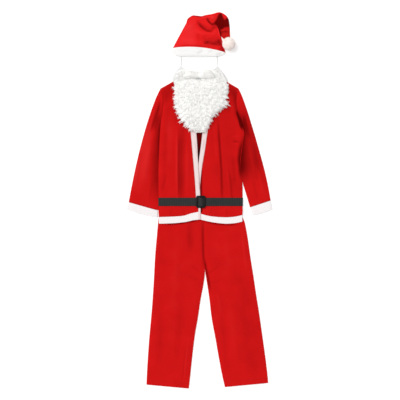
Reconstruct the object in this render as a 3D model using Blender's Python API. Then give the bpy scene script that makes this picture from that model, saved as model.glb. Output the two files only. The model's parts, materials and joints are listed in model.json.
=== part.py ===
"""A Santa suit laid out flat: hat, beard on its elastic, jacket, belt and trousers.

Run with: blender --background --python part.py
Lengths in the tables are millimetres: x to the right, y towards the hat, z up from the floor.
"right" and "left" in the names are the wearer's, so "right" lies at negative x.
The origin is on the floor, under the middle of the outline.
"""
import math

import bmesh
import bpy
from mathutils import Vector

MM = 0.001

# ---------------------------------------------------------------- driving sizes
FELT = 1.6            # wall of the red cloth
PLUSH = 2.6           # wall of the white bands
BRIM_PLUSH = 3.4      # wall of the hat's brim band
SEAM = 0.3            # clearance at a seam, or between a piece and the one it lies on
HOLLOW = 3.6          # the most that a front stands clear of the back it lies on
SHEET_EDGE = 1.2      # how far a folded edge is rounded in plan

BODY_LOFT = 3.6       # rise of the jacket's fronts over its back
CINCH = 0.55          # share of that rise which the belt presses flat
SLEEVE_LOFT = 4.2     # rise of a sleeve's upper ply over its lower one
LEG_LOFT = 3.8        # rise of the trousers' fronts over their backs

BELT_WEB = 1.8
BELT_WIDTH = 45.0
BELT_MIDDLE = -7.5
WAIST_TOP = -53.0
WAIST_BOTTOM = -82.0
WAIST_WALL = 2.2
TROUSER_STACK = 5.3   # height of the trousers where the jacket lies on them

BUCKLE_WIDTH = 51.0
BUCKLE_HEIGHT = 66.0
BUCKLE_THICK = 4.4
BUCKLE_MIDDLE = (7.4, -7.0)
BUCKLE_RAIL = 8.5     # top and bottom rails of the frame
BUCKLE_BAR = 9.5      # its two outer bars
BUCKLE_BRIDGE = 8.0   # its middle bar, which the webbing goes over
BUCKLE_BRIDGE_THICK = 2.4
SIDE_AT_BELT = (-219.5, 232.5)

POMPOM_MIDDLE = (161.0, 847.0)
POMPOM_ROOT = 31.5    # radius of the backing ball
POMPOM_TIP = 36.5     # radius at the ends of the locks
TIP_STACK = 3.5       # two plies of felt pressed flat under the ball
LOCK_CLEARANCE = 2.5  # how far the lowest locks stay above the ball's seat

ELASTIC_WIDTH = 6.0
ELASTIC_THICK = 1.2

LAP = PLUSH + SEAM    # rise of the right front edge where it lies on the left one
LAP_TOP = 290.0       # the right band starts to climb onto the left one here
LAP_RUN = 85.0        # and lies on it after this distance
LAP_REACH = 70.0      # how far the right front is lifted back from its edge
LAP_SLOPE = 62.0

NECK_CORNER_RISE = 66.0   # from the shoulder's outer end up to the neck
PRESS_LENGTH = 40.0       # how far the belt's squeeze is felt above and below it
BELT_FOLD = 6.0           # height of the webbing's turn at each side
SIDE_INSET = 0.99         # the hem's ends stay just inside the sides
HEM_BAND_LEAD = 20.0      # the hem bands rest as the fronts do this far above them


# ---------------------------------------------------------------- tables and curves
class Rows:
    """A short table with named columns: at() reads it on a curve, read() on straight lines."""

    def __init__(self, columns, *rows):
        self.columns = columns.split()
        self.rows = rows
        self.last = len(rows) - 1

    def column(self, name):
        place = self.columns.index(name)
        return [row[place] for row in self.rows]

    def at(self, name, step):
        return spline(self.column(name), step)

    def step_at(self, name, value):
        """The step, as a decimal, at which a falling or rising column has this value."""
        values = self.column(name)
        rising = values[-1] > values[0]
        for k in range(self.last):
            low, high = (values[k], values[k + 1]) if rising else (values[k + 1], values[k])
            if low <= value <= high:
                return k + (value - values[k]) / (values[k + 1] - values[k])
        nearer_end = abs(value - values[-1]) < abs(value - values[0])
        return float(self.last) if nearer_end else 0.0

    def read(self, name, key, value):
        """Straight-line reading of one column by the value of another."""
        step = self.step_at(key, value)
        low = min(int(step), self.last - 1)
        values = self.column(name)
        return values[low] + (values[low + 1] - values[low]) * (step - low)


def spline(values, step):
    """Catmull-Rom curve through evenly spaced values."""
    last = len(values) - 1
    step = min(max(step, 0.0), float(last))
    k = min(int(step), last - 1)
    t = step - k
    b, c = values[k], values[k + 1]
    a = values[k - 1] if k else 2 * b - c
    d = values[k + 2] if k + 2 <= last else 2 * c - b
    return 0.5 * (2 * b + (c - a) * t + (2 * a - 5 * b + 4 * c - d) * t ** 2
                  + (3 * b - 3 * c + d - a) * t ** 3)


def clamp(value, low=0.0, high=1.0):
    return min(max(value, low), high)


def ease(value):
    """A soft step from 0 to 1."""
    t = clamp(value)
    return t * t * (3 - 2 * t)


def shoulder(value):
    """A quarter round from 0 to 1: the section of a soft folded edge."""
    t = clamp(value)
    return math.sqrt(1 - (1 - t) ** 2)


def mix(a, b, t):
    return a + (b - a) * t


def to_segment(x, y, start, end):
    """Distance from a place to a straight line between two points."""
    across = end[0] - start[0], end[1] - start[1]
    length = across[0] ** 2 + across[1] ** 2
    t = clamp(((x - start[0]) * across[0] + (y - start[1]) * across[1]) / length)
    return math.hypot(x - start[0] - t * across[0], y - start[1] - t * across[1])


def fold_height(x, y, folds):
    """Sum of the soft ridges (+) and troughs (-) at a place. A row: route, half width, height."""
    total = 0.0
    for route, half_width, height in folds:
        near = min(to_segment(x, y, a, b) for a, b in zip(route, route[1:]))
        total += height * (1 - ease(near / half_width))
    return total


# ---------------------------------------------------------------- the cut of each garment
JACKET = Rows(
    "y rise right_side right_edge right_band left_band left_edge left_side",
    (604, 66, -210.0, -91.0, 31, 31, 98.0, 211.0),
    (577, 53, -202.0, -84.5, 31, 31, 90.0, 203.5),
    (550, 41, -198.0, -78.5, 31, 31, 82.0, 200.0),
    (523, 30, -197.0, -72.5, 31, 31, 74.5, 200.0),
    (496, 20, -197.5, -67.5, 31, 31, 68.0, 202.0),
    (469, 12, -199.5, -62.5, 32, 30, 62.0, 206.0),
    (442, 5, -202.5, -58.0, 32, 30, 57.0, 213.0),
    (415, 0, -205.0, -54.0, 32, 29, 52.0, 224.0),
    (390, 0, -207.0, -50.5, 32, 28, 47.5, 231.0),
    (355, 0, -210.0, -46.5, 31, 27, 42.0, 235.0),
    (320, 0, -211.5, -43.0, 30, 26, 37.0, 234.5),
    (280, 0, -213.0, -39.5, 29, 25, 31.5, 227.5),
    (240, 0, -215.0, -36.0, 27, 24, 24.5, 222.5),
    (200, 0, -217.0, -32.5, 26, 22, 17.5, 221.5),
    (160, 0, -218.5, -28.5, 25, 20, 11.5, 224.5),
    (120, 0, -219.5, -25.5, 25, 19, 7.5, 230.0),
    (80, 0, -220.0, -22.5, 24, 18, 3.5, 233.0),
    (45, 0, -220.0, -20.5, 24, 18, 1.5, 233.0),
    (20, 0, -219.5, -19.0, 24, 18, 1.0, 232.5),
    (-8, 0, -219.5, -18.3, 24, 18, 0.5, 232.5),
    (-34, 0, -219.5, -17.8, 24, 18, 0.0, 232.5),
    (-52, 0, -221.0, -17.5, 24, 18, 0.0, 233.5))
ARMHOLE_ROWS = 7      # the first rows of the jacket run down its armholes

# The hem's lower edge, and the seam of each hem band, across the jacket.
HEM_EDGE = Rows("x y", (-223, -125), (-137, -123), (-83, -116), (-35, -105), (0, -101),
                (30, -109), (84, -120), (144, -126), (198, -122), (236, -112))
HEM_SEAM_RIGHT = Rows("x y", (-223, -89), (-148, -87), (-83, -83), (-51, -71), (-18, -60), (8, -58))
HEM_SEAM_LEFT = Rows("x y", (-26, -70), (0, -69), (41, -82), (84, -88), (138, -91), (187, -89),
                     (236, -77))
BACK_HEM_DEPTH = 32.0
HEM_KNEE = -60.0      # from here down the fronts lie on the back's hem band
NECK_DROP = 13.0
NECK_BAND_WIDTH = 24.0

# Each row of a tube runs from its outer to its inner edge. "bow" bends it to the left of that way.
SLEEVE_RIGHT = Rows(
    "outer_x outer_y inner_x inner_y bow",
    (-233, 561, -207.5, 399, 5), (-255.5, 499, -209.5, 371, 1), (-271.5, 452, -211.5, 339, 0),
    (-286, 406, -213.5, 305, 0), (-299.5, 360, -215.0, 268, 0), (-312, 314, -217.0, 229, 0),
    (-324, 268, -219.0, 188, 0), (-335.5, 221, -220.5, 145, 0), (-347.5, 167, -222.0, 97, 0),
    (-359.5, 110, -223.0, 46, 0), (-371, 52, -223.8, -5, 0), (-382, -9, -224.5, -54, 0))
CUFF_RIGHT = Rows("outer_x outer_y inner_x inner_y bow",
                  (-382.5, -9.5, -224.6, -54.5, 0), (-389, -27, -225.5, -73, -3),
                  (-395, -45, -226.5, -91, -6))
SLEEVE_LEFT = Rows(
    "outer_x outer_y inner_x inner_y bow",
    (232, 563, 230.8, 397, -5), (250, 510, 235.5, 367, -1), (267, 460, 236.8, 338, 0),
    (281, 413, 234.8, 305, 0), (294, 371, 228.5, 271, 0), (306, 330, 224.8, 236, 0),
    (317.5, 289, 223.8, 198, 0), (329.5, 248, 226.8, 159, 0), (341, 206, 232.5, 119, 0),
    (353, 160, 241.5, 76, 0), (364, 113, 251.0, 39, 0), (375, 60, 262.0, -2, 0),
    (385, 0, 273.0, -37, 0))
CUFF_LEFT = Rows("outer_x outer_y inner_x inner_y bow",
                 (385.5, -0.5, 273.2, -37.5, 0), (390, -22, 279, -58, 2), (395, -46, 287, -79, 4))

TROUSERS_RIGHT = Rows(
    "side_x side_y inner_x inner_y",
    (-216, -82, 7.5, -82), (-221, -105, 8.5, -105), (-223.5, -130, 9.5, -130),
    (-227, -170, 12.5, -170), (-231, -215, 16.0, -215), (-235.5, -260, 20.5, -260),
    (-239, -310, 25.0, -310), (-241, -345, 28.0, -345), (-242.5, -378, 30.0, -378),
    (-245, -428, 25.0, -428), (-248, -475, 17.5, -475), (-251.5, -530, 5.5, -530),
    (-256, -590, -2.5, -590), (-261, -645, -11.0, -648), (-266.5, -705, -23.0, -708),
    (-272, -765, -31.0, -768), (-276, -825, -38.0, -828), (-280, -885, -44.5, -890),
    (-283, -940, -50.5, -950), (-285, -993, -58.0, -1014))
TROUSERS_LEFT = Rows(
    "side_x side_y inner_x inner_y",
    (226, -82, 8.1, -82), (240, -105, 9.1, -105), (247, -130, 10.1, -130),
    (254.5, -170, 13.1, -170), (262, -215, 16.6, -215), (268, -260, 21.1, -260),
    (275, -310, 25.6, -310), (280.5, -345, 28.6, -345), (286, -378, 30.6, -378),
    (294, -428, 39.0, -428), (300.5, -475, 46.0, -475), (309, -530, 55.0, -530),
    (319, -590, 61.0, -590), (327, -645, 68.0, -648), (335.5, -705, 80.5, -708),
    (344, -765, 91.5, -768), (351.5, -820, 101.5, -828), (359, -875, 113.0, -890),
    (365.5, -930, 124.5, -950), (370.5, -984, 138.0, -1006))

# The crown fans round the crease where its tip folds over. "loft" is the rise over its lower ply.
CROWN = Rows(
    "outer_x outer_y inner_x inner_y bow loft",
    (-143, 824, 141.0, 799, 15, 4.5), (-124, 861, 133.0, 829, 12, 5.0),
    (-105, 896, 125.0, 856, 9, 5.0), (-86, 931, 118.0, 881, 6, 5.0),
    (-67, 966, 111.5, 905, 4, 4.8), (-50, 996, 104.5, 925, 2, 4.6),
    (-8, 998, 100.5, 937, 2, 4.4), (41, 1002, 100.5, 942, 1, 4.2),
    (79, 1010, 103.0, 941.5, 0, 4.2), (112, 1014, 106.5, 936, 0, 4.0),
    (142, 1004, 109.5, 927, 0, 3.8), (158, 984, 112.5, 916, 0, 3.4),
    (163, 953, 116.5, 904, 0, 2.8), (165, 922, 123.5, 892, 0, 2.2),
    (165.5, 894, 131.0, 881, 0, 1.0), (167, 871, 141.0, 865, 0, 0.0),
    (171, 847, 153.0, 843, 0, 0.0))
BRIM = Rows("outer_x outer_y inner_x inner_y bow loft",
            (-143.2, 823.7, 140.8, 798.7, 15, 0.6), (-153, 811, 140.5, 792.5, 9, 1.2),
            (-145, 792, 132.0, 786.0, 2, 1.2), (-123, 778, 115.0, 778.0, -2, 0.4))

# Half widths of the beard to each side, and the height of its pile above its backing.
BEARD = Rows(
    "y right left pile",
    (708, -106, 104, 4.0), (697, -122, 120, 5.5), (683, -131, 132, 6.8), (662, -135, 141, 8.4),
    (640, -137, 151, 11), (618, -137, 158, 15), (597, -138, 150, 18), (575, -135, 151, 20),
    (554, -140, 146, 21), (532, -137, 145, 21), (510, -134, 139, 20), (489, -129, 116, 19),
    (467, -118, 88, 18), (446, -106, 67, 17), (424, -86, 62, 15), (402, -67, 49, 13),
    (381, -48, 40, 9), (364, -13, 36, 5))
BACKING = Rows(
    "y right left ear",
    (702, -119, 116, 26), (690, -130, 128, 10), (672, -141, 142, 0), (652, -147, 153, 0),
    (634, -136, 147, 0), (590, -128, 140, 0), (540, -128, 134, 0), (490, -118, 106, 0),
    (440, -94, 56, 0), (400, -56, 38, 0), (376, -28, 20, 0))
BACKING_CLOTH = 2.0
EAR_AT = 0.08         # where an ear stands, as a share of the backing's width
EAR_HALF = 0.10

# Height of what carries the beard, from the jacket's fronts down over the shoulders to the floor.
BEARD_REST = Rows("y z", (370, 7.6), (600, 7.6), (655, 5.6), (708, 3.0), (722, 0.6), (740, 0.6))

MOUSTACHE = Rows(
    "x y half height",
    (-91, 666, 4, 3), (-80, 672, 14, 9), (-64, 676, 21, 14), (-46, 678, 23, 17),
    (-28, 677, 22, 16), (-13, 674, 16, 12), (-3, 671, 10, 8), (8, 674, 17, 13),
    (24, 680, 24, 18), (43, 683, 26, 19), (60, 680, 23, 16), (74, 674, 15, 10), (84, 668, 5, 3))

# The elastic's route, hand-set: from the right ear up into the brim, across, and down to the left.
ELASTIC_ROUTE = (
    (-98.0, 729.0, 1.4), (-98.2, 738.0, 0.9), (-98.4, 749.0, 0.9), (-98.5, 760.0, 1.8),
    (-98.4, 770.0, 3.6), (-97.6, 780.0, 4.8), (-94.0, 790.5, 5.1), (-86.0, 799.0, 5.1),
    (-73.0, 803.5, 5.1), (-55.0, 804.5, 5.1), (-35.0, 804.0, 5.1), (-12.0, 803.0, 5.1),
    (12.0, 802.0, 5.1), (36.0, 800.5, 5.1), (58.0, 799.0, 5.1), (75.0, 796.5, 5.1),
    (87.0, 791.5, 5.1), (94.0, 782.5, 4.9), (96.4, 772.0, 3.6), (97.0, 761.0, 1.8),
    (97.2, 750.0, 0.9), (97.2, 739.0, 0.9), (97.2, 729.0, 1.4))

# Largest folds. A row is the fold's route, its half width and its height.
FRONT_FOLDS = (
    (((-112, 395), (-114, 250), (-112, 60)), 26, 2.0),
    (((-80, 380), (-82, 230), (-86, 70)), 24, -1.8),
    (((104, 450), (100, 334), (108, 220), (120, 40)), 20, -3.2),
    (((132, 420), (130, 300), (140, 120)), 24, 1.6),
    (((168, 240), (163, 120)), 22, 1.2),
    (((182, 318), (216, 309)), 15, -2.2),
    (((-176, 330), (-182, 140)), 24, 1.2))
SLEEVE_FOLDS = (
    (((-234, 470), (-244, 420), (-258, 372)), 17, -3.4),
    (((-214, 520), (-222, 460)), 16, -2.2),
    (((-266, 330), (-290, 180), (-302, 60)), 30, 1.6),
    (((-236, 250), (-240, 120)), 14, -1.8),
    (((-330, 160), (-345, 50)), 18, -1.6),
    (((242, 430), (252, 360), (262, 290)), 20, -2.6),
    (((286, 330), (304, 230), (322, 120)), 26, 1.8),
    (((262, 220), (282, 110)), 20, 1.4),
    (((334, 170), (356, 60)), 18, -1.6))
TROUSER_FOLDS = (
    (((-52, -150), (-50, -262)), 30, -2.0),
    (((-120, -200), (-136, -420), (-150, -640)), 40, 1.4),
    (((60, -220), (72, -330)), 30, -1.2),
    (((40, -395), (90, -370)), 20, -1.6),
    (((20, -410), (-34, -380)), 18, -1.6),
    (((170, -250), (196, -480)), 40, 1.4),
    (((-170, -760), (-176, -930)), 34, 1.2),
    (((236, -720), (254, -900)), 34, 1.2),
    (((-60, -620), (-86, -760)), 26, -1.4),
    (((128, -640), (152, -780)), 26, -1.4))
CROWN_FOLDS = (
    (((-20, 958), (26, 926), (62, 905)), 17, -3.6),
    (((26, 978), (58, 950), (84, 934)), 14, 3.2),
    (((60, 986), (92, 966), (100, 990)), 13, 3.0),
    (((84, 905), (92, 880)), 15, 2.6),
    (((28, 884), (70, 862), (112, 846)), 17, -2.8),
    (((-40, 905), (10, 860)), 26, 1.4),
    (((128, 984), (136, 944), (146, 900)), 13, -2.6),
    (((154, 968), (156, 916)), 11, 1.8),
    (((54, 834), (104, 826)), 12, -2.0))


# ---------------------------------------------------------------- heights of the layers
def over_belt(y):
    """Lift of the jacket's back over the belt's back run, and then over the trousers."""
    belt_lift = (BELT_WEB + SEAM) * clamp((45 - y) / 25)
    trouser_lift = (TROUSER_STACK - BELT_WEB) * clamp((-34 - y) / 18)
    return belt_lift + trouser_lift


def back_top(y):
    return over_belt(y) + FELT


def front_rest(y):
    """Underside of a front that lies straight on the back, and on its hem band near the hem."""
    hem_lift = (PLUSH - FELT) * clamp((-52 - y) / (-52 - HEM_KNEE))
    return back_top(y) + SEAM + hem_lift


def lap_share(y):
    """0 above the crossing of the two front bands, 1 where the right one lies on the left one."""
    return ease((LAP_TOP - y) / LAP_RUN)


def lap_lift(x, y):
    """Rise of the right front's edge to lie on the left one, below the crossing."""
    edge = JACKET.read("right_edge", "y", y)
    return LAP * lap_share(y) * ease((x - edge + LAP_REACH) / LAP_SLOPE)


def body_loft(x, y):
    """Rise of the fronts off the back: a soft pillow that dies out at every edge."""
    right = x < 0
    side = JACKET.read("right_side" if right else "left_side", "y", y)
    edge = JACKET.read("right_edge" if right else "left_edge", "y", y)
    from_side = abs(x - side)
    from_edge = abs(x - edge)
    top_y, rise, top_side, top_edge = JACKET.rows[0][:4]
    slope = rise / (abs(top_side) - abs(top_edge))
    from_shoulder = top_y + slope * max(0.0, abs(top_side) - abs(x)) - y
    from_hem = y + 88
    full = BODY_LOFT * shoulder(from_side / 34) * shoulder(from_shoulder / 46)
    off_belt = abs(y - BELT_MIDDLE) - BELT_WIDTH * 0.62
    belted = 1 - CINCH * (1 - ease(off_belt / PRESS_LENGTH))
    hem = mix(0.35, 1.0, ease(from_hem / 60))
    return full * mix(0.14, 1.0, ease(from_edge / 58)) * belted * hem


def armhole_loft(t):
    return 1.6 * math.sin(math.pi * clamp(t))


def front_high(x, y):
    """Upper face of the fronts."""
    free = ease((y - 30) / 40) * ease((470 - y) / 50)
    rise = body_loft(x, y)
    rise += free * fold_height(x, y, FRONT_FOLDS) * ease(rise / 2.0)
    top = front_rest(y) + FELT + max(rise, 0.0)
    return top + (lap_lift(x, y) if x < 0 else 0.0)


def front_low(x, y):
    lift = lap_lift(x, y) if x < 0 else 0.0
    return min(front_high(x, y) - FELT, front_rest(y) + HOLLOW + lift)


def right_band_low(x, y):
    return front_rest(y) + LAP * lap_share(y) + body_loft(JACKET.read("right_edge", "y", y), y)


def left_band_low(x, y):
    return front_rest(y)


def leg_high(x, y, side, inner):
    """Upper face of a trouser front, by its distances from its two long edges."""
    reach = LEG_LOFT * shoulder(side / 36) * mix(0.12, 1.0, shoulder(inner / 34))
    waist = mix(TROUSER_STACK - 2 * FELT - SEAM, 99.0, ease((-132 - y) / 40))
    rise = reach + fold_height(x, y, TROUSER_FOLDS) * ease(reach / 2.0)
    hem = mix(0.45, 1.0, ease((y + 1010) / 50))
    return 2 * FELT + SEAM + clamp(rise * hem, 0.0, waist)


def beard_rest(y):
    return BEARD_REST.read("z", "y", y)


def pile_base(y):
    return beard_rest(y) + SEAM + BACKING_CLOTH + SEAM


# ---------------------------------------------------------------- making solids
def finish(name, colour, roughness):
    """One Principled material for each sub-part."""
    material = bpy.data.materials.new(name)
    material.use_nodes = True
    shader = material.node_tree.nodes["Principled BSDF"]
    shader.inputs["Base Color"].default_value = (*colour, 1.0)
    shader.inputs["Roughness"].default_value = roughness
    shader.inputs["Metallic"].default_value = 0.0
    material.diffuse_color = (*colour, 1.0)
    return material


RED = (0.60, 0.008, 0.010)
WHITE = (0.90, 0.89, 0.88)
WARM_WHITE = (0.86, 0.85, 0.82)
GREY_WEB = (0.035, 0.038, 0.040)
BLACK = (0.010, 0.010, 0.011)


def make(name, points, faces, colour, roughness, smooth_angle=40.0):
    """A named object from points in millimetres."""
    mesh = bpy.data.meshes.new(name)
    mesh.from_pydata([Vector(p) * MM for p in points], [], faces)
    mesh.validate()
    work = bmesh.new()
    work.from_mesh(mesh)
    bmesh.ops.recalc_face_normals(work, faces=work.faces)
    if work.calc_volume(signed=True) < 0:
        bmesh.ops.reverse_faces(work, faces=work.faces)
    work.to_mesh(mesh)
    work.free()
    mesh.shade_smooth()
    mesh.set_sharp_from_angle(angle=math.radians(smooth_angle))
    thing = bpy.data.objects.new(name, mesh)
    bpy.context.scene.collection.objects.link(thing)
    mesh.materials.append(finish(name + "_finish", colour, roughness))
    return thing


def quads_between(first, second, count, closed):
    """Quads joining two runs of points that start at the given indices."""
    span = count if closed else count - 1
    return [(first + k, first + (k + 1) % count, second + (k + 1) % count, second + k)
            for k in range(span)]


def panel(name, plan, low, high, colour, roughness):
    """A cloth wall: rows of (x, y) places, with a lower and an upper face."""
    rows, cols = len(plan), len(plan[0])
    points = [(x, y, high(x, y)) for row in plan for x, y in row]
    points += [(x, y, low(x, y)) for row in plan for x, y in row]
    under = rows * cols
    faces = []
    for r in range(rows - 1):
        faces += quads_between(r * cols, (r + 1) * cols, cols, False)
        faces += quads_between(under + r * cols, under + (r + 1) * cols, cols, False)
    rim = list(range(cols))
    rim += [r * cols + cols - 1 for r in range(1, rows)]
    rim += [(rows - 1) * cols + c for c in range(cols - 2, -1, -1)]
    rim += [r * cols for r in range(rows - 2, 0, -1)]
    for k, here in enumerate(rim):
        there = rim[(k + 1) % len(rim)]
        faces.append((here, there, under + there, under + here))
    return make(name, points, faces, colour, roughness)


def inward(lines, r, end):
    """Way into the tube from a folded edge: between its row's way and the edge's square."""
    here = Vector(lines[r][end])
    along_row = (Vector(lines[r][1 if end == 0 else -2]) - here).normalized()
    before = Vector(lines[max(r - 1, 0)][end])
    after = Vector(lines[min(r + 1, len(lines) - 1)][end])
    edge = (after - before).normalized()
    square = Vector((-edge.y, edge.x))
    if square.dot(along_row) < 0:
        square = -square
    beyond = lines[1] if r == 0 else lines[r - 1]
    towards = Vector(beyond[len(beyond) // 2]) - Vector(lines[r][len(beyond) // 2])
    leaves = r in (0, len(lines) - 1) and square.dot(towards) < 0
    return along_row if leaves else (along_row + square).normalized()


def tube_ring(line, tops, wall, hollow_rows, ahead, astern):
    """Outer and inner section of a flattened tube along one row of plan places."""
    count = len(line)
    first, last = Vector(line[0]), Vector(line[-1])
    edge = 2 * wall + SEAM
    outer = [(*first, edge / 2)]
    inner = [(*(first + ahead * wall), edge / 2)]
    for k in range(count):
        place = Vector(line[k])
        inside = place
        if k == 0:
            place = first + ahead * SHEET_EDGE
            inside = first + ahead * (wall + 0.7)
        if k == count - 1:
            place = last + astern * SHEET_EDGE
            inside = last + astern * (wall + 0.7)
        top = tops[k]
        outer.append((*place, top))
        inner.append((*inside, min(top - wall, wall + HOLLOW)))
    outer.append((*last, edge / 2))
    inner.append((*(last + astern * wall), edge / 2))
    for k in range(count - 1, -1, -1):
        outer.append((outer[k + 1][0], outer[k + 1][1], 0.0))
        inner.append((inner[k + 1][0], inner[k + 1][1], wall))
    return (outer, inner) if hollow_rows else (outer, None)


def laid_tube(name, lines, high, wall, colour, roughness, closed_end=False):
    """A tube of cloth laid flat: rows of places across it, its wall all round, open at its ends."""
    last = len(lines) - 1
    rings = []
    for r, line in enumerate(lines):
        tops = [high(r, k, *place) for k, place in enumerate(line)]
        hollow = not (closed_end and r == last)
        rings.append(tube_ring(line, tops, wall, hollow, inward(lines, r, 0), inward(lines, r, -1)))
    count = len(rings[0][0])
    points, outer_at, inner_at = [], [], []
    for outer, inner in rings:
        outer_at.append(len(points))
        points += outer
        if inner:
            inner_at.append(len(points))
            points += inner
    faces = []
    for a, b in zip(outer_at, outer_at[1:]):
        faces += quads_between(a, b, count, True)
    for a, b in zip(inner_at, inner_at[1:]):
        faces += [tuple(reversed(quad)) for quad in quads_between(a, b, count, True)]
    faces += quads_between(inner_at[0], outer_at[0], count, True)
    if closed_end:
        faces.append(tuple(outer_at[-1] + k for k in range(count)))
        faces.append(tuple(inner_at[-1] + k for k in reversed(range(count))))
    else:
        faces += quads_between(outer_at[-1], inner_at[-1], count, True)
    return make(name, points, faces, colour, roughness)


def spread(stations, low, high):
    """Places between two values at the given shares."""
    return [mix(low, high, s) for s in stations]


PANEL_STATIONS = (0.0, 0.045, 0.13, 0.26, 0.40, 0.54, 0.68, 0.80, 0.90, 0.96, 1.0)


# ---------------------------------------------------------------- jacket
def rung_points(row, side_name, edge_name, stations):
    """Places across a front at one row: its side to its front edge, along the shoulder at the top."""
    side = row[side_name]
    edge = row[edge_name]
    return [(mix(side, edge, s), row["y"] + row["rise"] * s) for s in stations]


def jacket_rows():
    return [dict(zip(JACKET.columns, row)) for row in JACKET.rows]


def jacket_front(name, side_name, edge_name, hem_seam):
    plan = [rung_points(row, side_name, edge_name, PANEL_STATIONS) for row in jacket_rows()]
    side, edge = plan[-1][0][0], plan[-1][-1][0]
    across = spread(PANEL_STATIONS, side * SIDE_INSET, edge)
    plan.append([(x, hem_seam.read("y", "x", x)) for x in across])
    return panel(name, plan, front_low, front_high, RED, 0.95)


BACK_STATIONS = (0.0, 0.10, 0.19, 0.2827, 0.39, 0.5, 0.61, 0.7316, 0.82, 0.91, 1.0)
RIGHT_NECK = BACK_STATIONS[3]
LEFT_NECK = BACK_STATIONS[7]


def jacket_back():
    """The back, from side to side, with the neckline dipping between the shoulder seams."""
    plan = []
    for row in jacket_rows():
        line = []
        for s in BACK_STATIONS:
            out = min(s / RIGHT_NECK, (1 - s) / (1 - LEFT_NECK), 1.0)
            dip = NECK_DROP * row["rise"] / NECK_CORNER_RISE * neck_dip(neck_share(s))
            line.append((mix(row["right_side"], row["left_side"], s),
                         row["y"] + row["rise"] * out - dip))
        plan.append(line)
    plan.append([(x, back_seam(x)) for x in back_hem_places()])
    return panel("jacket_back", plan, lambda x, y: over_belt(y), lambda x, y: back_top(y),
                 RED, 0.95)


def back_hem_places():
    last = jacket_rows()[-1]
    return spread(BACK_STATIONS, last["right_side"] * SIDE_INSET, last["left_side"] * SIDE_INSET)


def neck_share(s):
    """0 at the right end of the neckline, 1 at its left end."""
    return (s - RIGHT_NECK) / (LEFT_NECK - RIGHT_NECK)


def neck_dip(share):
    return math.sin(math.pi * clamp(share)) ** 0.8


def back_seam(x):
    return HEM_EDGE.read("y", "x", x) + BACK_HEM_DEPTH


def neck_band():
    """Plush band along the back of the neck, from one shoulder seam to the other."""
    first = jacket_rows()[0]
    top = first["y"] + first["rise"]
    middle = (first["right_side"] + first["left_side"]) / 2
    inner, outer = [], []
    for s in BACK_STATIONS[3:8]:
        x = mix(first["right_side"], first["left_side"], s)
        y = top - NECK_DROP * neck_dip(neck_share(s)) + SEAM
        inner.append((x, y))
        outer.append((mix(x, middle, 0.05), y + NECK_BAND_WIDTH))
    return panel("neck_band", [outer, inner], lambda x, y: 0.0, lambda x, y: PLUSH, WHITE, 0.9)


def front_band(name, edge_name, width_name, direction, low):
    """Plush band down a front edge, through every row of the front, to the hem's lower edge."""
    plan = []
    for number, row in enumerate(jacket_rows()):
        edge = row[edge_name] + direction * SEAM
        width = direction * row[width_name]
        y = row["y"] + row["rise"]
        fall = 9.0 if number == 0 else 0.0
        plan.append([(edge + width * s, y - SEAM - fall * s) for s in (0.0, 0.5, 1.0)])
    bottom = plan[-1]
    plan.append([(x, HEM_KNEE) for x, _ in bottom])
    plan.append([(x, HEM_EDGE.read("y", "x", x)) for x, _ in bottom])
    return panel(name, plan, low, lambda x, y: low(x, y) + PLUSH, WHITE, 0.9)


def hem_band(name, side_name, edge_name, hem_seam):
    """Plush band along the hem of one front, from its side to the front band."""
    hem_top = jacket_rows()[-1]["y"]
    side, edge = jacket_rows()[-1][side_name], jacket_rows()[-1][edge_name]
    across = spread(PANEL_STATIONS, side * SIDE_INSET, edge)

    def low(x, y):
        return front_rest(y - HEM_BAND_LEAD) + (lap_lift(x, hem_top) if x < 0 else 0.0)
    plan = [[(x, mix(hem_seam.read("y", "x", x) - SEAM, HEM_EDGE.read("y", "x", x), s))
             for x in across] for s in (0.0, 0.5, 1.0)]
    return panel(name, plan, low, lambda x, y: low(x, y) + PLUSH, WHITE, 0.9)


def hem_band_back():
    across = back_hem_places()
    plan = [[(x, back_seam(x) - SEAM) for x in across],
            [(x, HEM_EDGE.read("y", "x", x) + 2) for x in across]]
    rest = over_belt(-60)
    return panel("hem_band_back", plan, lambda x, y: rest, lambda x, y: rest + PLUSH, WHITE, 0.9)


def armhole(side_name, outward):
    """The armhole's corners, from the shoulder seam to the armpit, moved out by the seam."""
    rows = jacket_rows()[:ARMHOLE_ROWS + 1]
    return [(row[side_name] + outward * SEAM, row["y"]) for row in rows]


def tube_line(row, count):
    """Places across a tube at one row of its table, bowed to the left of its way."""
    outer = Vector((row["outer_x"], row["outer_y"]))
    inner = Vector((row["inner_x"], row["inner_y"]))
    along = (inner - outer).normalized()
    towards = Vector((-along.y, along.x))
    line = []
    for k in range(count):
        s = k / (count - 1)
        line.append(tuple(outer.lerp(inner, s) + towards * row["bow"] * 4 * s * (1 - s)))
    return line


def table_lines(table, count):
    return [tube_line(dict(zip(table.columns, row)), count) for row in table.rows]


def sleeve_high(r, k, x, y):
    """Upper face of a sleeve: low at the armhole seam and at both folded edges."""
    across = k / ARMHOLE_ROWS
    from_edge = min(across, 1 - across)
    rise = mix(armhole_loft(across), SLEEVE_LOFT * shoulder(from_edge / 0.24), ease(r / 3))
    rise += fold_height(x, y, SLEEVE_FOLDS) * ease(from_edge / 0.2) * ease(r / 2)
    return 2 * FELT + SEAM + max(rise, 0.0)


def sleeve(name, side_name, outward, table):
    lines = [armhole(side_name, outward)] + table_lines(table, ARMHOLE_ROWS + 1)
    return laid_tube(name, lines, sleeve_high, FELT, RED, 0.95)


def cuff_high(r, k, x, y):
    across = k / ARMHOLE_ROWS
    return 2 * PLUSH + SEAM + 2.2 * shoulder(min(across, 1 - across) / 0.2)


def cuff(name, table):
    return laid_tube(name, table_lines(table, ARMHOLE_ROWS + 1), cuff_high, PLUSH, WHITE, 0.9)


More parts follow.
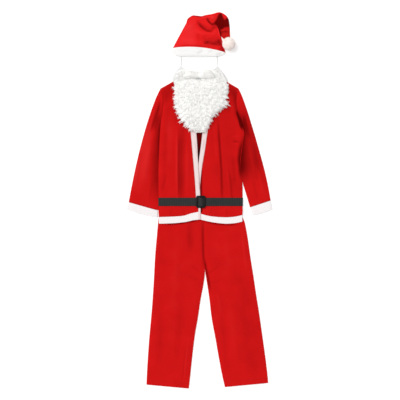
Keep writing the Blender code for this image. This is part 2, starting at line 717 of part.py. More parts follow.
# ---------------------------------------------------------------- trousers
def trouser_plan(table, stations):
    return [[(mix(side_x, inner_x, s), mix(side_y, inner_y, s)) for s in stations]
            for side_x, side_y, inner_x, inner_y in table.rows]


def trouser_front(name, table):
    stations = (0.0, 0.05, 0.14, 0.28, 0.43, 0.58, 0.73, 0.87, 0.95, 1.0)

    def high(x, y):
        side = abs(x - table.read("side_x", "side_y", y))
        inner = abs(x - table.read("inner_x", "inner_y", y))
        return leg_high(x, y, side, inner)

    def low(x, y):
        return min(high(x, y) - FELT, FELT + HOLLOW)
    return panel(name, trouser_plan(table, stations), low, high, RED, 0.95)


def trouser_back(name, table):
    stations = (0.0, 0.33, 0.67, 1.0)
    return panel(name, trouser_plan(table, stations), lambda x, y: 0.0, lambda x, y: FELT,
                 RED, 0.95)


def trouser_waistband():
    """Elastic casing round the top of the trousers, laid flat."""
    top = [mix(-211, 221, k / 10) for k in range(11)]
    bottom = [mix(-215, 225, k / 10) for k in range(11)]
    lines = [[(x, WAIST_TOP) for x in top], [(x, WAIST_BOTTOM + SEAM) for x in bottom]]
    flat = 2 * WAIST_WALL + SEAM
    return laid_tube("trouser_waistband", lines, lambda r, k, x, y: flat, WAIST_WALL, RED, 0.95)


# ---------------------------------------------------------------- belt and buckle
def belt_front_height(x):
    """Underside of the belt's front run: on the bands in the middle, on the fronts at the sides."""
    side = SIDE_AT_BELT[0] if x < 0 else SIDE_AT_BELT[1]
    cinched = (1 - CINCH) * BODY_LOFT * shoulder((abs(side) - abs(x)) / 34)
    rest = front_rest(BELT_MIDDLE) + 2 * SEAM
    middle_share = ease((x + 110) / 75) if x < 0 else ease((112 - x) / 78)
    return rest + mix(FELT + cinched, LAP + PLUSH, middle_share)


BELT_PLACES_RIGHT = (-212, -200, -180, -140, -100, -80, -60, -40)
BELT_PLACES_LEFT = (45, 65, 85, 110, 150, 190, 212, 224)


def belt_path():
    """Middle line of the webbing, as (x, z), once round the jacket."""
    half = BELT_WEB / 2
    right = SIDE_AT_BELT[0] - SEAM - half
    left = SIDE_AT_BELT[1] + SEAM + half
    x0 = BUCKLE_MIDDLE[0]
    under = belt_front_height(x0) + half
    over = under + BUCKLE_BRIDGE_THICK + BELT_WEB + 2 * SEAM
    bar = BUCKLE_WIDTH / 2 - BUCKLE_BAR
    bridge = BUCKLE_BRIDGE / 2
    path = [(right, half), (right, BELT_FOLD), (right + 1.6, BELT_FOLD + 1.4)]
    path += [(x, belt_front_height(x) + half) for x in BELT_PLACES_RIGHT]
    path += [(x0 - bar - 3, under), (x0 - bar + 0.6, under), (x0 - bridge - 1.6, over)]
    path += [(x0 + bridge + 1.6, over), (x0 + bar - 0.6, under), (x0 + bar + 3, under)]
    path += [(x, belt_front_height(x) + half) for x in BELT_PLACES_LEFT]
    path += [(left - 1.6, BELT_FOLD + 1.4), (left, BELT_FOLD), (left, half), (0, half)]
    return path


def belt():
    path = [Vector(p) for p in belt_path()]
    count = len(path)
    half = BELT_WEB / 2
    low_y = BELT_MIDDLE - BELT_WIDTH / 2
    high_y = BELT_MIDDLE + BELT_WIDTH / 2
    points, faces = [], []
    for k, place in enumerate(path):
        ahead = (path[(k + 1) % count] - place).normalized()
        behind = (place - path[k - 1]).normalized()
        along = (ahead + behind).normalized()
        out = Vector((-along.y, along.x))
        stretch = half / max(0.6, out.dot(Vector((-ahead.y, ahead.x))))
        face_out, face_in = place + out * stretch, place - out * stretch
        points += [(face_out.x, low_y, face_out.y), (face_out.x, high_y, face_out.y),
                   (face_in.x, high_y, face_in.y), (face_in.x, low_y, face_in.y)]
    for k in range(count):
        faces += quads_between(4 * k, 4 * ((k + 1) % count), 4, True)
    return make("belt", points, faces, GREY_WEB, 0.7)


def rounded_outline(middle, width, height, radius, steps):
    """Corners of a rectangle with round corners, anticlockwise."""
    outline = []
    for quarter, (sx, sy) in enumerate(((1, 1), (-1, 1), (-1, -1), (1, -1))):
        cx = middle[0] + sx * (width / 2 - radius)
        cy = middle[1] + sy * (height / 2 - radius)
        for k in range(steps + 1):
            angle = math.radians(90 * quarter + 90 * k / steps)
            outline.append((cx + radius * math.cos(angle), cy + radius * math.sin(angle)))
    return outline


def prism(name, outline, low, high, colour, roughness):
    count = len(outline)
    points = [(x, y, low) for x, y in outline] + [(x, y, high) for x, y in outline]
    faces = [tuple(reversed(range(count))), tuple(range(count, 2 * count))]
    faces += quads_between(0, count, count, True)
    return make(name, points, faces, colour, roughness)


def buckle():
    """Three-bar slide: a rounded frame with two slots for the webbing."""
    rest = belt_front_height(BUCKLE_MIDDLE[0]) + BELT_WEB + SEAM
    top = rest + BUCKLE_THICK
    outline = rounded_outline(BUCKLE_MIDDLE, BUCKLE_WIDTH, BUCKLE_HEIGHT, 9.0, 4)
    frame = prism("buckle", outline, rest, top, BLACK, 0.3)
    slot_width = (BUCKLE_WIDTH - 2 * BUCKLE_BAR - BUCKLE_BRIDGE) / 2
    slot_height = BUCKLE_HEIGHT - 2 * BUCKLE_RAIL
    offset = BUCKLE_BRIDGE / 2 + slot_width / 2
    window = slot_width * 2 + BUCKLE_BRIDGE
    cuts = ((BUCKLE_MIDDLE[0] - offset, slot_width, rest - 5),
            (BUCKLE_MIDDLE[0] + offset, slot_width, rest - 5),
            (BUCKLE_MIDDLE[0], window - 0.02, rest + BUCKLE_BRIDGE_THICK))
    for x, width, low in cuts:
        hole = rounded_outline((x, BUCKLE_MIDDLE[1]), width, slot_height, 1.5, 2)
        cutter = prism("slot_cutter", hole, low, top + 5, BLACK, 0.3)
        cutter.hide_render = True
        cutter.display_type = "WIRE"
        cut = frame.modifiers.new("slot", "BOOLEAN")
        cut.operation = "DIFFERENCE"
        cut.solver = "EXACT"
        cut.object = cutter
    round_edge = frame.modifiers.new("moulded edge", "BEVEL")
    round_edge.width = 1.1 * MM
    round_edge.segments = 2
    round_edge.limit_method = "ANGLE"
    round_edge.angle_limit = math.radians(50)
    return frame


# ---------------------------------------------------------------- hat
CROWN_ACROSS = 11     # places across the crown and the brim, edge to edge
BRIM_ACROSS = 13
BRIM_LOFT = 3.1       # rise of the brim's upper ply over its lower one


def crown_high(r, k, x, y):
    """Upper face of the crown, with the creases that spread from its inner corner."""
    across = k / (CROWN_ACROSS - 1)
    from_edge = min(across, 1 - across)
    loft = CROWN.rows[r][5]
    rise = loft * shoulder(from_edge / 0.16)
    rise += fold_height(x, y, CROWN_FOLDS) * ease(from_edge / 0.14) * ease(loft / 3.0)
    return 2 * FELT + SEAM + max(rise, 0.0)


def hat_crown():
    lines = table_lines(CROWN, CROWN_ACROSS)
    return laid_tube("hat_crown", lines, crown_high, FELT, RED, 0.95, closed_end=True)


def brim_high(r, k, x, y):
    across = k / (BRIM_ACROSS - 1)
    from_edge = min(across, 1 - across)
    open_height = 2 * BRIM_PLUSH + SEAM
    return open_height + (BRIM_LOFT + BRIM.rows[r][5]) * shoulder(from_edge / 0.12)


def hat_brim():
    lines = table_lines(BRIM, BRIM_ACROSS)
    return laid_tube("hat_brim", lines, brim_high, BRIM_PLUSH, WHITE, 0.9)


def hat_pompom():
    """A ball of plush locks on a round backing, sewn down onto the flat tip."""
    work = bmesh.new()
    bmesh.ops.create_icosphere(work, subdivisions=2, radius=POMPOM_ROOT)
    lowest = min(work.faces, key=lambda f: f.calc_center_median().z)
    turn = lowest.normal.rotation_difference(Vector((0, 0, -1))).to_matrix().to_4x4()
    bmesh.ops.transform(work, matrix=turn, verts=work.verts)
    work.faces.ensure_lookup_table()
    lowest = min(work.faces, key=lambda f: f.calc_center_median().z)
    seat = lowest.calc_center_median().z
    locks = [face for face in work.faces if face is not lowest]
    tips = bmesh.ops.poke(work, faces=locks)["verts"]
    for number, tip in enumerate(tips):
        reach = POMPOM_TIP - 1.4 * ((number * 7) % 5) / 4
        tip.co = tip.co.normalized() * reach
        lowest_reach = seat + LOCK_CLEARANCE
        if tip.co.z < lowest_reach:
            tip.co *= lowest_reach / tip.co.z
    middle = Vector((*POMPOM_MIDDLE, TIP_STACK + SEAM - seat))
    bmesh.ops.translate(work, vec=middle, verts=work.verts)
    work.verts.ensure_lookup_table()
    work.verts.index_update()
    points = [tuple(v.co) for v in work.verts]
    faces = [tuple(v.index for v in f.verts) for f in work.faces]
    work.free()
    return make("hat_pompom", points, faces, WHITE, 0.95, 80.0)


# ---------------------------------------------------------------- beard
def ear(share):
    """Where the backing stands up at its two ears, by the share across it."""
    near = min(abs(share - EAR_AT), abs(share - (1 - EAR_AT)))
    return 1 - ease(near / EAR_HALF)


def beard_backing():
    stations = (0.0, 0.04, 0.08, 0.12, 0.18, 0.3, 0.5, 0.7, 0.82, 0.88, 0.92, 0.96, 1.0)
    plan = []
    for y, right, left, ear_height in BACKING.rows:
        plan.append([(mix(right, left, s), y + ear_height * ear(s)) for s in stations])
    return panel("beard_backing", plan, lambda x, y: beard_rest(y) + SEAM,
                 lambda x, y: beard_rest(y) + SEAM + BACKING_CLOTH, WHITE, 0.9)


PILE_ROWS = 30
PILE_ACROSS = 15
LOCK_RELIEF = 2.6
LOCK_REACH = 5.0


def pile_high(x, y, share):
    """Upper face of the pile, without its locks."""
    step = BEARD.step_at("y", y)
    height = BEARD.at("pile", step)
    edge = shoulder(min(share, 1 - share) / 0.28)
    return pile_base(y) + height * mix(0.32, 1.0, edge)


def beard_pile():
    """The beard's hair as one mass: locks stand up in rows, and their tips break its outline."""
    plan, tops = [], []
    for r in range(PILE_ROWS):
        step = BEARD.last * r / (PILE_ROWS - 1)
        y, right, left = (BEARD.at(name, step) for name in ("y", "right", "left"))
        free = ease((640 - y) / 40)
        line, heights = [], []
        for k in range(PILE_ACROSS):
            share = k / (PILE_ACROSS - 1)
            x = mix(right, left, share)
            down = 0.0
            lock = 1 if (r + 2 * (k % 2)) % 4 < 2 else -1
            if k in (0, PILE_ACROSS - 1):
                out = -1 if k == 0 else 1
                tip = LOCK_REACH * free * (1 if r % 2 else -0.5)
                x += out * tip
                down = 0.8 * max(tip, 0.0)
            elif r == PILE_ROWS - 1:
                down = 0.25 * LOCK_REACH * (k % 2)
            relief = LOCK_RELIEF * free * lock * math.sin(math.pi * share) ** 0.5
            line.append((x, y - down))
            heights.append(pile_high(x, y, share) + relief)
        plan.append(line)
        tops.append(heights)
    lookup = {place: top for line, heights in zip(plan, tops) for place, top in zip(line, heights)}
    return panel("beard_pile", plan, lambda x, y: pile_base(y), lambda x, y: lookup[(x, y)],
                 WARM_WHITE, 0.95)


def moustache():
    """Two swept lobes of pile that lie on the beard's top."""
    stations = (0.0, 0.14, 0.32, 0.5, 0.68, 0.86, 1.0)
    plan, shares = [], {}
    for x, y, half, height in MOUSTACHE.rows:
        line = []
        for s in stations:
            place = (x, mix(y + half, y - half, s))
            shares[place] = height * math.sin(math.pi * mix(0.06, 0.94, s))
            line.append(place)
        plan.append(line)

    return panel("moustache", plan, lambda x, y: moustache_rest(y),
                 lambda x, y: moustache_rest(y) + shares[(x, y)], WARM_WHITE, 0.95)


def moustache_rest(y):
    """Just above the top of the pile under the moustache."""
    return pile_base(y) + BEARD.read("pile", "y", y) + 2 * SEAM


# ---------------------------------------------------------------- elastic
ELASTIC_POINTS = 52


def beard_elastic():
    """Flat elastic, as a curve through its route, with a rounded edge."""
    last = len(ELASTIC_ROUTE) - 1
    curve = bpy.data.curves.new("beard_elastic", "CURVE")
    curve.dimensions = "3D"
    curve.twist_mode = "Z_UP"
    line = curve.splines.new("POLY")
    line.points.add(ELASTIC_POINTS - 1)
    for k in range(ELASTIC_POINTS):
        step = last * k / (ELASTIC_POINTS - 1)
        place = [spline([p[axis] for p in ELASTIC_ROUTE], step) * MM for axis in range(3)]
        line.points[k].co = (*place, 1.0)
        line.points[k].tilt = math.radians(90)
    curve.extrude = (ELASTIC_WIDTH / 2 - ELASTIC_THICK / 2) * MM
    curve.bevel_depth = ELASTIC_THICK / 2 * MM
    curve.bevel_resolution = 0
    curve.use_fill_caps = True
    thing = bpy.data.objects.new("beard_elastic", curve)
    bpy.context.scene.collection.objects.link(thing)
    curve.materials.append(finish("beard_elastic_finish", WHITE, 0.8))
    return thing


def build():
    for thing in list(bpy.data.objects):
        bpy.data.objects.remove(thing, do_unlink=True)
    jacket_back()
    jacket_front("jacket_front_right", "right_side", "right_edge", HEM_SEAM_RIGHT)
    jacket_front("jacket_front_left", "left_side", "left_edge", HEM_SEAM_LEFT)
    front_band("front_band_right", "right_edge", "right_band", 1, right_band_low)
    front_band("front_band_left", "left_edge", "left_band", -1, left_band_low)
    neck_band()
    hem_band("hem_band_right", "right_side", "right_edge", HEM_SEAM_RIGHT)
    hem_band("hem_band_left", "left_side", "left_edge", HEM_SEAM_LEFT)
    hem_band_back()
    sleeve("sleeve_right", "right_side", -1, SLEEVE_RIGHT)
    sleeve("sleeve_left", "left_side", 1, SLEEVE_LEFT)
    cuff("cuff_right", CUFF_RIGHT)
    cuff("cuff_left", CUFF_LEFT)
    trouser_front("trouser_front_right", TROUSERS_RIGHT)
    trouser_front("trouser_front_left", TROUSERS_LEFT)
    trouser_back("trouser_back_right", TROUSERS_RIGHT)
    trouser_back("trouser_back_left", TROUSERS_LEFT)
    trouser_waistband()
    belt()
    buckle()
    hat_crown()
    hat_brim()
    hat_pompom()
    beard_backing()
    beard_pile()
    moustache()
    beard_elastic()


build()
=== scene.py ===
# %% [markdown]
# # A Santa suit laid out on the floor
# The suit is a set: a cone hat with a pompom, a curly beard on an elastic, a jacket with plush trims,
# a webbing belt with a slide buckle, and plain trousers. It lies flat, so it is a stack of thin cloth.
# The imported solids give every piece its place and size. This script gives each one its finish: the
# creases of cloth, the nap of felt and plush, the curls of the beard and the ribs of the webbing.

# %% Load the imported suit
import json
import math
import random

import bpy
import numpy as np
from mathutils import Matrix, Vector, noise
from mathutils.bvhtree import BVHTree

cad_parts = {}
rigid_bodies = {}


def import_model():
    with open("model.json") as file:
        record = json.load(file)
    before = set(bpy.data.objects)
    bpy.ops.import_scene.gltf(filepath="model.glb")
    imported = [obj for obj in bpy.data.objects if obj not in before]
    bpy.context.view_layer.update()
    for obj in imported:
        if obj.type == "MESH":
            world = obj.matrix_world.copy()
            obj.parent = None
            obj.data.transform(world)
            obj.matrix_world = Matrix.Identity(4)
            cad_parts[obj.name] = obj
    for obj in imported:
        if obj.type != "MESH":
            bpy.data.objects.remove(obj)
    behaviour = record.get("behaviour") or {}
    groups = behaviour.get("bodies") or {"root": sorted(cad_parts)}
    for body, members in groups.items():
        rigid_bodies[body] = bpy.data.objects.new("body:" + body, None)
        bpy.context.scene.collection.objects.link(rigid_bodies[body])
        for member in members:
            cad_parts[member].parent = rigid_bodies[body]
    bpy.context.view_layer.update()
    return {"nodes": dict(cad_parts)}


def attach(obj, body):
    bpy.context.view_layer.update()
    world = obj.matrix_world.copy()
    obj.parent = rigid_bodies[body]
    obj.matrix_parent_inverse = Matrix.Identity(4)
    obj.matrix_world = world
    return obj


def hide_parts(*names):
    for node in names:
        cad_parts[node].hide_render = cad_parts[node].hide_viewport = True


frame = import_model()
bpy.ops.object.select_all(action="DESELECT")
MM = 0.001

# %% [markdown]
# ## The camera
# A suit laid out flat is seen from straight above. A long lens far away keeps the hat and the trouser
# hems at one scale. The camera is made first, because a cord is measured against what it sees.

# %% Camera straight above
LENS = 100.0
SENSOR = 36.0
VIEW_WIDTH = 2160.0
VIEW_MIDDLE = (3.2, 2.7)
CAMERA_HEIGHT = VIEW_WIDTH * LENS / SENSOR


def camera_above():
    bpy.ops.object.camera_add(rotation=(0, 0, 0))
    camera = bpy.context.object
    camera.name = "camera_above"
    camera.data.lens = LENS
    camera.data.sensor_width = SENSOR
    camera.location = Vector((*VIEW_MIDDLE, CAMERA_HEIGHT)) * MM
    camera.data.clip_end = 40
    bpy.context.scene.camera = camera


camera_above()
print("camera height in m:", round(CAMERA_HEIGHT * MM, 2))

# %% [markdown]
# ## The beard's elastic
# A flat elastic 6 mm wide runs from one ear of the beard, up into the hat's brim, across inside it and
# down to the other ear. A flat cord is a curve whose profile is wider than it is thick: Extrude gives
# the width and Bevel the rounded edge, and the curve stays one open line that can be measured. Its
# points have a radius of a thousandth, because a curve's bounding box grows by the radius in metres.

# %% Elastic
ELASTIC_WIDTH = 6.0
ELASTIC_THICK = 1.2
ELASTIC_STEPS = 110
ELASTIC_ROUTE = (
    (-98.0, 729.0, 1.4), (-98.2, 738.0, 0.9), (-98.4, 749.0, 0.9), (-98.5, 760.0, 1.8),
    (-98.4, 770.0, 3.6), (-97.6, 780.0, 4.8), (-94.0, 790.5, 5.1), (-86.0, 799.0, 5.1),
    (-73.0, 803.5, 5.1), (-55.0, 804.5, 5.1), (-35.0, 804.0, 5.1), (-12.0, 803.0, 5.1),
    (12.0, 802.0, 5.1), (36.0, 800.5, 5.1), (58.0, 799.0, 5.1), (75.0, 796.5, 5.1),
    (87.0, 791.5, 5.1), (94.0, 782.5, 4.9), (96.4, 772.0, 3.6), (97.0, 761.0, 1.8),
    (97.2, 750.0, 0.9), (97.2, 739.0, 0.9), (97.2, 729.0, 1.4))


def add_object(name, data):
    """Put a mesh or a curve into the scene as an object at the origin."""
    thing = bpy.data.objects.new(name, data)
    bpy.context.scene.collection.objects.link(thing)
    return thing


def catmull_rom(points, step):
    """A point on the smooth curve through the given points; step counts them as a decimal."""
    last = len(points) - 1
    k = min(int(step), last - 1)
    t = step - k
    b, c = Vector(points[k]), Vector(points[k + 1])
    a = Vector(points[k - 1]) if k else 2 * b - c
    d = Vector(points[k + 2]) if k + 2 <= last else 2 * c - b
    return 0.5 * (2 * b + (c - a) * t + (2 * a - 5 * b + 4 * c - d) * t ** 2
                  + (3 * b - 3 * c + d - a) * t ** 3)


def make_elastic():
    curve = bpy.data.curves.new("beard_elastic_band", "CURVE")
    curve.dimensions = "3D"
    curve.twist_mode = "Z_UP"
    line = curve.splines.new("POLY")
    line.points.add(ELASTIC_STEPS)
    for k, point in enumerate(line.points):
        place = catmull_rom(ELASTIC_ROUTE, (len(ELASTIC_ROUTE) - 1) * k / ELASTIC_STEPS)
        point.co = (*(place * MM), 1.0)
        point.tilt = math.radians(90)
        point.radius = MM
    curve.extrude = (ELASTIC_WIDTH - ELASTIC_THICK) / 2
    curve.bevel_depth = ELASTIC_THICK / 2
    curve.bevel_resolution = 2
    curve.use_fill_caps = True
    length = sum((Vector(a.co[:3]) - Vector(b.co[:3])).length
                 for a, b in zip(line.points, line.points[1:]))
    print("elastic length in m:", round(length, 4))
    return add_object("beard_elastic_band", curve)


elastic = make_elastic()
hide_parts("beard_elastic")
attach(elastic, "root")

# %% [markdown]
# ## Floor and light
# The floor is a wide pale plane, a little below the cloth. It glows faintly, as a sheet lit from behind
# does, so that the shadows on it stay light.
# One soft sun from the upper left shapes the creases, and a pale sky fills the shadows.

# %% Floor, sky and sun
FLOOR_DROP = 0.4
FLOOR_GLOW = 0.12
FLOOR_PALE = (0.97, 0.97, 0.97, 1)
WHITE = (1, 1, 1, 1)
SKY_STRENGTH = 0.66
SUN_STRENGTH = 1.85
SUN_SOFTNESS = 50.0
SUN_FROM = Vector((-0.58, 0.40, 1.0))


def set_sockets(node, **values):
    """Set a shader node's sockets by name, with _ for each space."""
    for name, value in values.items():
        node.inputs[name.replace("_", " ")].default_value = value


def make_floor():
    bpy.ops.mesh.primitive_grid_add(x_subdivisions=8, y_subdivisions=8, size=40,
                                    location=(0, 0, -FLOOR_DROP * MM))
    floor = bpy.context.object
    floor.name = "pale_floor"
    paper = bpy.data.materials.new("pale_floor_paper")
    paper.use_nodes = True
    set_sockets(paper.node_tree.nodes["Principled BSDF"], Base_Color=FLOOR_PALE, Roughness=0.9,
                Specular_IOR_Level=0.1, Emission_Color=WHITE, Emission_Strength=FLOOR_GLOW)
    floor.data.materials.append(paper)


def light_the_floor():
    world = bpy.data.worlds.new("pale_sky")
    world.use_nodes = True
    set_sockets(world.node_tree.nodes["Background"], Color=WHITE, Strength=SKY_STRENGTH)
    bpy.context.scene.world = world
    bpy.ops.object.light_add(type="SUN", location=SUN_FROM * 3)
    sun = bpy.context.object
    sun.name = "soft_sun"
    sun.data.energy = SUN_STRENGTH
    sun.data.angle = math.radians(SUN_SOFTNESS)
    sun.rotation_mode = "QUATERNION"
    sun.rotation_quaternion = SUN_FROM.to_track_quat("Z", "Y")
    bpy.context.scene.view_settings.view_transform = "Standard"


make_floor()
light_the_floor()
print("floor and light are set")

# %% [markdown]
# ## Tools for cloth
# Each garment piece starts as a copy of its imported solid, which has the right outline and layers. The
# copy's doubles are merged, its triangles are paired into quads, and its cut edges get a crease value,
# so that a Subdivision Surface rounds the cloth but keeps the cut. Modelling the cloth again from a
# plane would also work, but it would have to find the same outline twice.

# %% Copy, hold edges, refine
finished = bpy.data.objects


def only(thing):
    """Make one object the selected and active one."""
    bpy.ops.object.select_all(action="DESELECT")
    thing.select_set(True)
    bpy.context.view_layer.objects.active = thing


def copy_of(node, name):
    """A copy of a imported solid, merged and in quads."""
    thing = add_object(name, frame["nodes"][node].data.copy())
    thing.data.name = name
    thing.data.materials.clear()
    only(thing)
    bpy.ops.mesh.customdata_custom_splitnormals_clear()
    bpy.ops.object.mode_set(mode="EDIT")
    bpy.ops.mesh.select_all(action="SELECT")
    bpy.ops.mesh.remove_doubles(threshold=0.02 * MM)
    bpy.ops.mesh.tris_convert_to_quads(face_threshold=math.radians(50),
                                       shape_threshold=math.radians(120))
    bpy.ops.object.mode_set(mode="OBJECT")
    return thing


def hold_edges(thing, angle, hold=1.0):
    """Crease every edge that is sharper than this angle, so that rounding keeps it."""
    only(thing)
    bpy.ops.object.mode_set(mode="EDIT")
    bpy.ops.mesh.select_mode(type="EDGE")
    bpy.ops.mesh.select_all(action="DESELECT")
    bpy.ops.mesh.edges_select_sharp(sharpness=math.radians(angle))
    bpy.ops.transform.edge_crease(value=hold)
    bpy.ops.object.mode_set(mode="OBJECT")


def refine(thing, levels):
    """Round the mesh with an applied Subdivision Surface."""
    rounding = thing.modifiers.new("finer cloth", "SUBSURF")
    rounding.levels = levels
    rounding.render_levels = levels
    only(thing)
    bpy.ops.object.modifier_apply(modifier=rounding.name)
    bpy.ops.object.shade_smooth()


# %% Read and write a mesh's points in millimetres
def read_vectors(thing, kind):
    flat = np.empty(len(thing.data.vertices) * 3)
    thing.data.vertices.foreach_get(kind, flat)
    return flat.reshape(-1, 3)


def read_points(thing):
    return read_vectors(thing, "co") / MM


def read_normals(thing):
    return read_vectors(thing, "normal")


def write_points(thing, points):
    thing.data.vertices.foreach_set("co", (points * MM).astype(np.float32).ravel())
    thing.data.update()


def write_painted_shade(thing, shade):
    """Keep the painted shade at each point, for the material to read; below 0 it is a painted highlight.
    """
    layer = thing.data.attributes.get("nap_and_painted_shade") or thing.data.attributes.new("nap_and_painted_shade", "FLOAT", "POINT")
    layer.data.foreach_set("value", shade.astype(np.float32))


# %% [markdown]
# ### Creases placed one by one
# A crease is a row in a table: its route over the cloth, its half width, its height and the shade that
# is painted in it, a painted highlight where negative. Height is positive on a ridge and negative in a
# trough. A last value, the lean, makes one side steeper, as on a real fold, and both ends taper out. A
# cloth simulation could find creases of its own, but not these ones, so each is set where it belongs.
# A soft-edged area is a row too: its outline, how soft its edge is, its height and its painted shade.

# %% Crease heights
CREASE_TAPER = 0.3


def ease(value):
    """0 below 0, 1 above 1 and a smooth step between them."""
    t = np.clip(value, 0.0, 1.0)
    return t * t * (3 - 2 * t)


def off_stretch(points, start, end):
    """How far along a straight stretch each point is, how far off it, and 1 on its left, -1 right."""
    length = math.dist(start, end)
    way = np.subtract(end, start) / length
    offset = points[:, :2] - start
    along = np.clip(offset @ way, 0, length)
    away = np.hypot(*(offset - along[:, None] * way).T)
    return along, away, np.sign(way[0] * offset[:, 1] - way[1] * offset[:, 0])


def crease_share(points, route, half_width, lean=0.0):
    """1 on the route and 0 beyond its half width; lean widens the side to the left of its way."""
    nearest = np.full(len(points), np.inf)
    side, along = np.zeros((2, len(points)))
    run = 0.0
    for start, end in zip(route, route[1:]):
        step, away, left = off_stretch(points, start, end)
        closer = away < nearest
        nearest[closer] = away[closer]
        side[closer] = left[closer]
        along[closer] = run + step[closer]
        run += math.dist(start, end)
    taper = ease(along / (CREASE_TAPER * run)) * ease((run - along) / (CREASE_TAPER * run))
    return (1 - ease(nearest / (half_width * (1 + lean * side)))) * taper


def area_share(points, outline, softness):
    """1 well inside an outline and 0 well outside it."""
    x, y = points[:, 0], points[:, 1]
    inside = np.zeros(len(points), dtype=bool)
    nearest = np.full(len(points), np.inf)
    for start, end in zip(outline, outline[1:] + outline[:1]):
        nearest = np.minimum(nearest, off_stretch(points, start, end)[1])
        (ax, ay), (bx, by) = start, end
        if ay != by:
            inside ^= ((ay > y) != (by > y)) & (x < ax + (bx - ax) * (y - ay) / (by - ay))
    return ease(0.5 + np.where(inside, nearest, -nearest) / (2 * softness))


def summed(points, table, share_of):
    """Summed height and painted shade at each point of a table's creases or areas."""
    height, shade = np.zeros((2, len(points)))
    for shape, width, rise, painted_dark, *lean in table:
        share = share_of(points, shape, width, *lean)
        height += rise * share
        shade += painted_dark * share
    return height, shade


def lumps(points, size, height, seed):
    """Soft unevenness of cloth that lies on cloth."""
    return height * np.array([noise.noise(Vector((x / size, y / size, seed))) for x, y, _ in points])


# %% Find what lies below
ABOVE_ALL = 200.0


def tree_of(thing):
    """A tree that finds places on an object's surface, in mm."""
    return BVHTree.FromPolygons([v.co / MM for v in thing.data.vertices],
                                [tuple(p.vertices) for p in thing.data.polygons])


def drop(tree, x, y):
    """Where something dropped at a place in plan lands on a surface, and the normal there."""
    return tree.ray_cast(Vector((x, y, ABOVE_ALL)), Vector((0, 0, -1)))[:2]


def top_of(*nodes):
    """A function that gives the height of the highest of these solids at a place, in mm."""
    trees = [tree_of(frame["nodes"][node]) for node in nodes]

    def height(x, y):
        landings = [drop(tree, x, y)[0] for tree in trees]
        return max((place.z for place in landings if place), default=0.0)
    return height


# %% Cloth from a solid
FELT_WALL = 1.6
CLEARANCE = 0.15
BROAD_LUMP = 46.0
SMALL_LUMP = 17.0
NAP_CLOUD = 60.0
CLOUD_DARK = 0.07
PRESSED_FADE = 18.0


def make_cloth(node, table, seed, rest=None, levels=3, angle=55, hold=1.0, wall=FELT_WALL, rough=0.35,
               areas=(), pressed=None, kind="cloth"):
    """A piece of cloth: its solid is copied, rounded and creased, and shade is painted in each crease.

    With rest, a function that gives the height of what lies below, the whole piece can move, but not
    down into that. Without it the piece is a flattened tube, and only its upper ply moves. Pressed is
    the middle and half width of a belt, under which the cloth stays flat.
    """
    thing = copy_of(node, f"{node}_{kind}")
    hold_edges(thing, angle, hold)
    refine(thing, levels)
    points = read_points(thing)
    height, shade = summed(points, table, crease_share)
    area_height, area_shade = summed(points, areas, area_share)
    height += (area_height + lumps(points, BROAD_LUMP, rough, seed)
               + lumps(points, SMALL_LUMP, rough * 0.4, seed + 9))
    shade += area_shade + lumps(points, NAP_CLOUD, CLOUD_DARK, seed + 17)
    if pressed:
        height *= ease((np.abs(points[:, 1] - pressed[0]) - pressed[1]) / PRESSED_FADE)
    if rest:
        floor = np.array([rest(x, y) for x, y, _ in points]) + CLEARANCE
    else:
        height *= ease((points[:, 2] - wall) / (1.2 * wall))
        floor = np.full(len(points), wall + 0.1)
    lowest = floor + np.where(read_normals(thing)[:, 2] >= 0, wall, 0.0)
    moved = points[:, 2] + height
    points[:, 2] = np.where(height < 0, np.minimum(points[:, 2], np.maximum(moved, lowest)), moved)
    write_points(thing, points)
    write_painted_shade(thing, np.clip(shade, -1, 1))
    return thing


# %% Measure and finish a piece
def furthest(points, direction, y, reach):
    """The furthest x of a piece to one side, near a height in plan."""
    return direction * (direction * points[np.abs(points[:, 1] - y) <= reach, 0]).max()


def edge_line(points, direction, step=8.0):
    """Where a piece ends to one side, at each point's y."""
    heights = np.arange(points[:, 1].min(), points[:, 1].max() + step, step)
    return np.interp(points[:, 1], heights, [furthest(points, direction, y, step) for y in heights])


def at_height(y, table, column=1):
    """A column of a table that is read by y; its rows run from the hat towards the feet."""
    rows = table[::-1]
    return np.interp(y, [row[0] for row in rows], [row[column] for row in rows])


def reach_side(thing, direction, amount, width, step=8.0):
    """Reach one side of a piece out flat, without lifting it; amount gives how far at each y."""
    points = read_points(thing)
    inset = direction * (edge_line(points, direction, step) - points[:, 0])
    points[:, 0] += direction * amount(points[:, 1]) * (1 - ease(inset / width))
    write_points(thing, points)


def dress(thing, material, slot_name, *nodes, cut=None, on=(), held="laid"):
    """Give a finished piece its material, hide the solids it stands for and attach it to the root body;
    cut is not used.
    """
    thing.data.materials.clear()
    thing.data.materials.append(material)
    if nodes:
        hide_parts(*nodes)
    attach(thing, "root")
    print(f"{thing.name}: {sum(len(face.vertices) - 2 for face in thing.data.polygons)} triangles")

# %% [markdown]
# ## Felt
# The suit is made of brushed polyester felt: short matted fibres with no weave to see. Up close it is
# mottled, because the fibres lie in every direction, and it has a little fuzz that catches light at
# grazing angles. Shade is painted in the troughs, mixing the colour towards a deep red by the painted
# shade the creases left on the mesh, and a highlight on the ridges. Object coordinates hold the pattern
# still.

# %% Shader tools
def node_of(tree, kind, **values):
    """Add a shader node and set its sockets by name."""
    node = tree.nodes.new(kind)
    set_sockets(node, **values)
    return node


def noise_at(tree, place, scale, detail, roughness=0.55, stretch=None):
    """A noise texture on given coordinates, in waves per metre."""
    if stretch:
        mapping = node_of(tree, "ShaderNodeMapping", Scale=stretch)
        tree.links.new(place, mapping.inputs["Vector"])
        place = mapping.outputs["Vector"]
    texture = node_of(tree, "ShaderNodeTexNoise", Scale=scale, Detail=detail, Roughness=roughness)
    tree.links.new(place, texture.inputs["Vector"])
    return texture.outputs["Fac"]


def painted_shade_in(tree):
    """The painted shade that is kept on the mesh."""
    nap_and_painted_shade = tree.nodes.new("ShaderNodeAttribute")
    nap_and_painted_shade.attribute_name = "nap_and_painted_shade"
    return nap_and_painted_shade.outputs["Fac"]


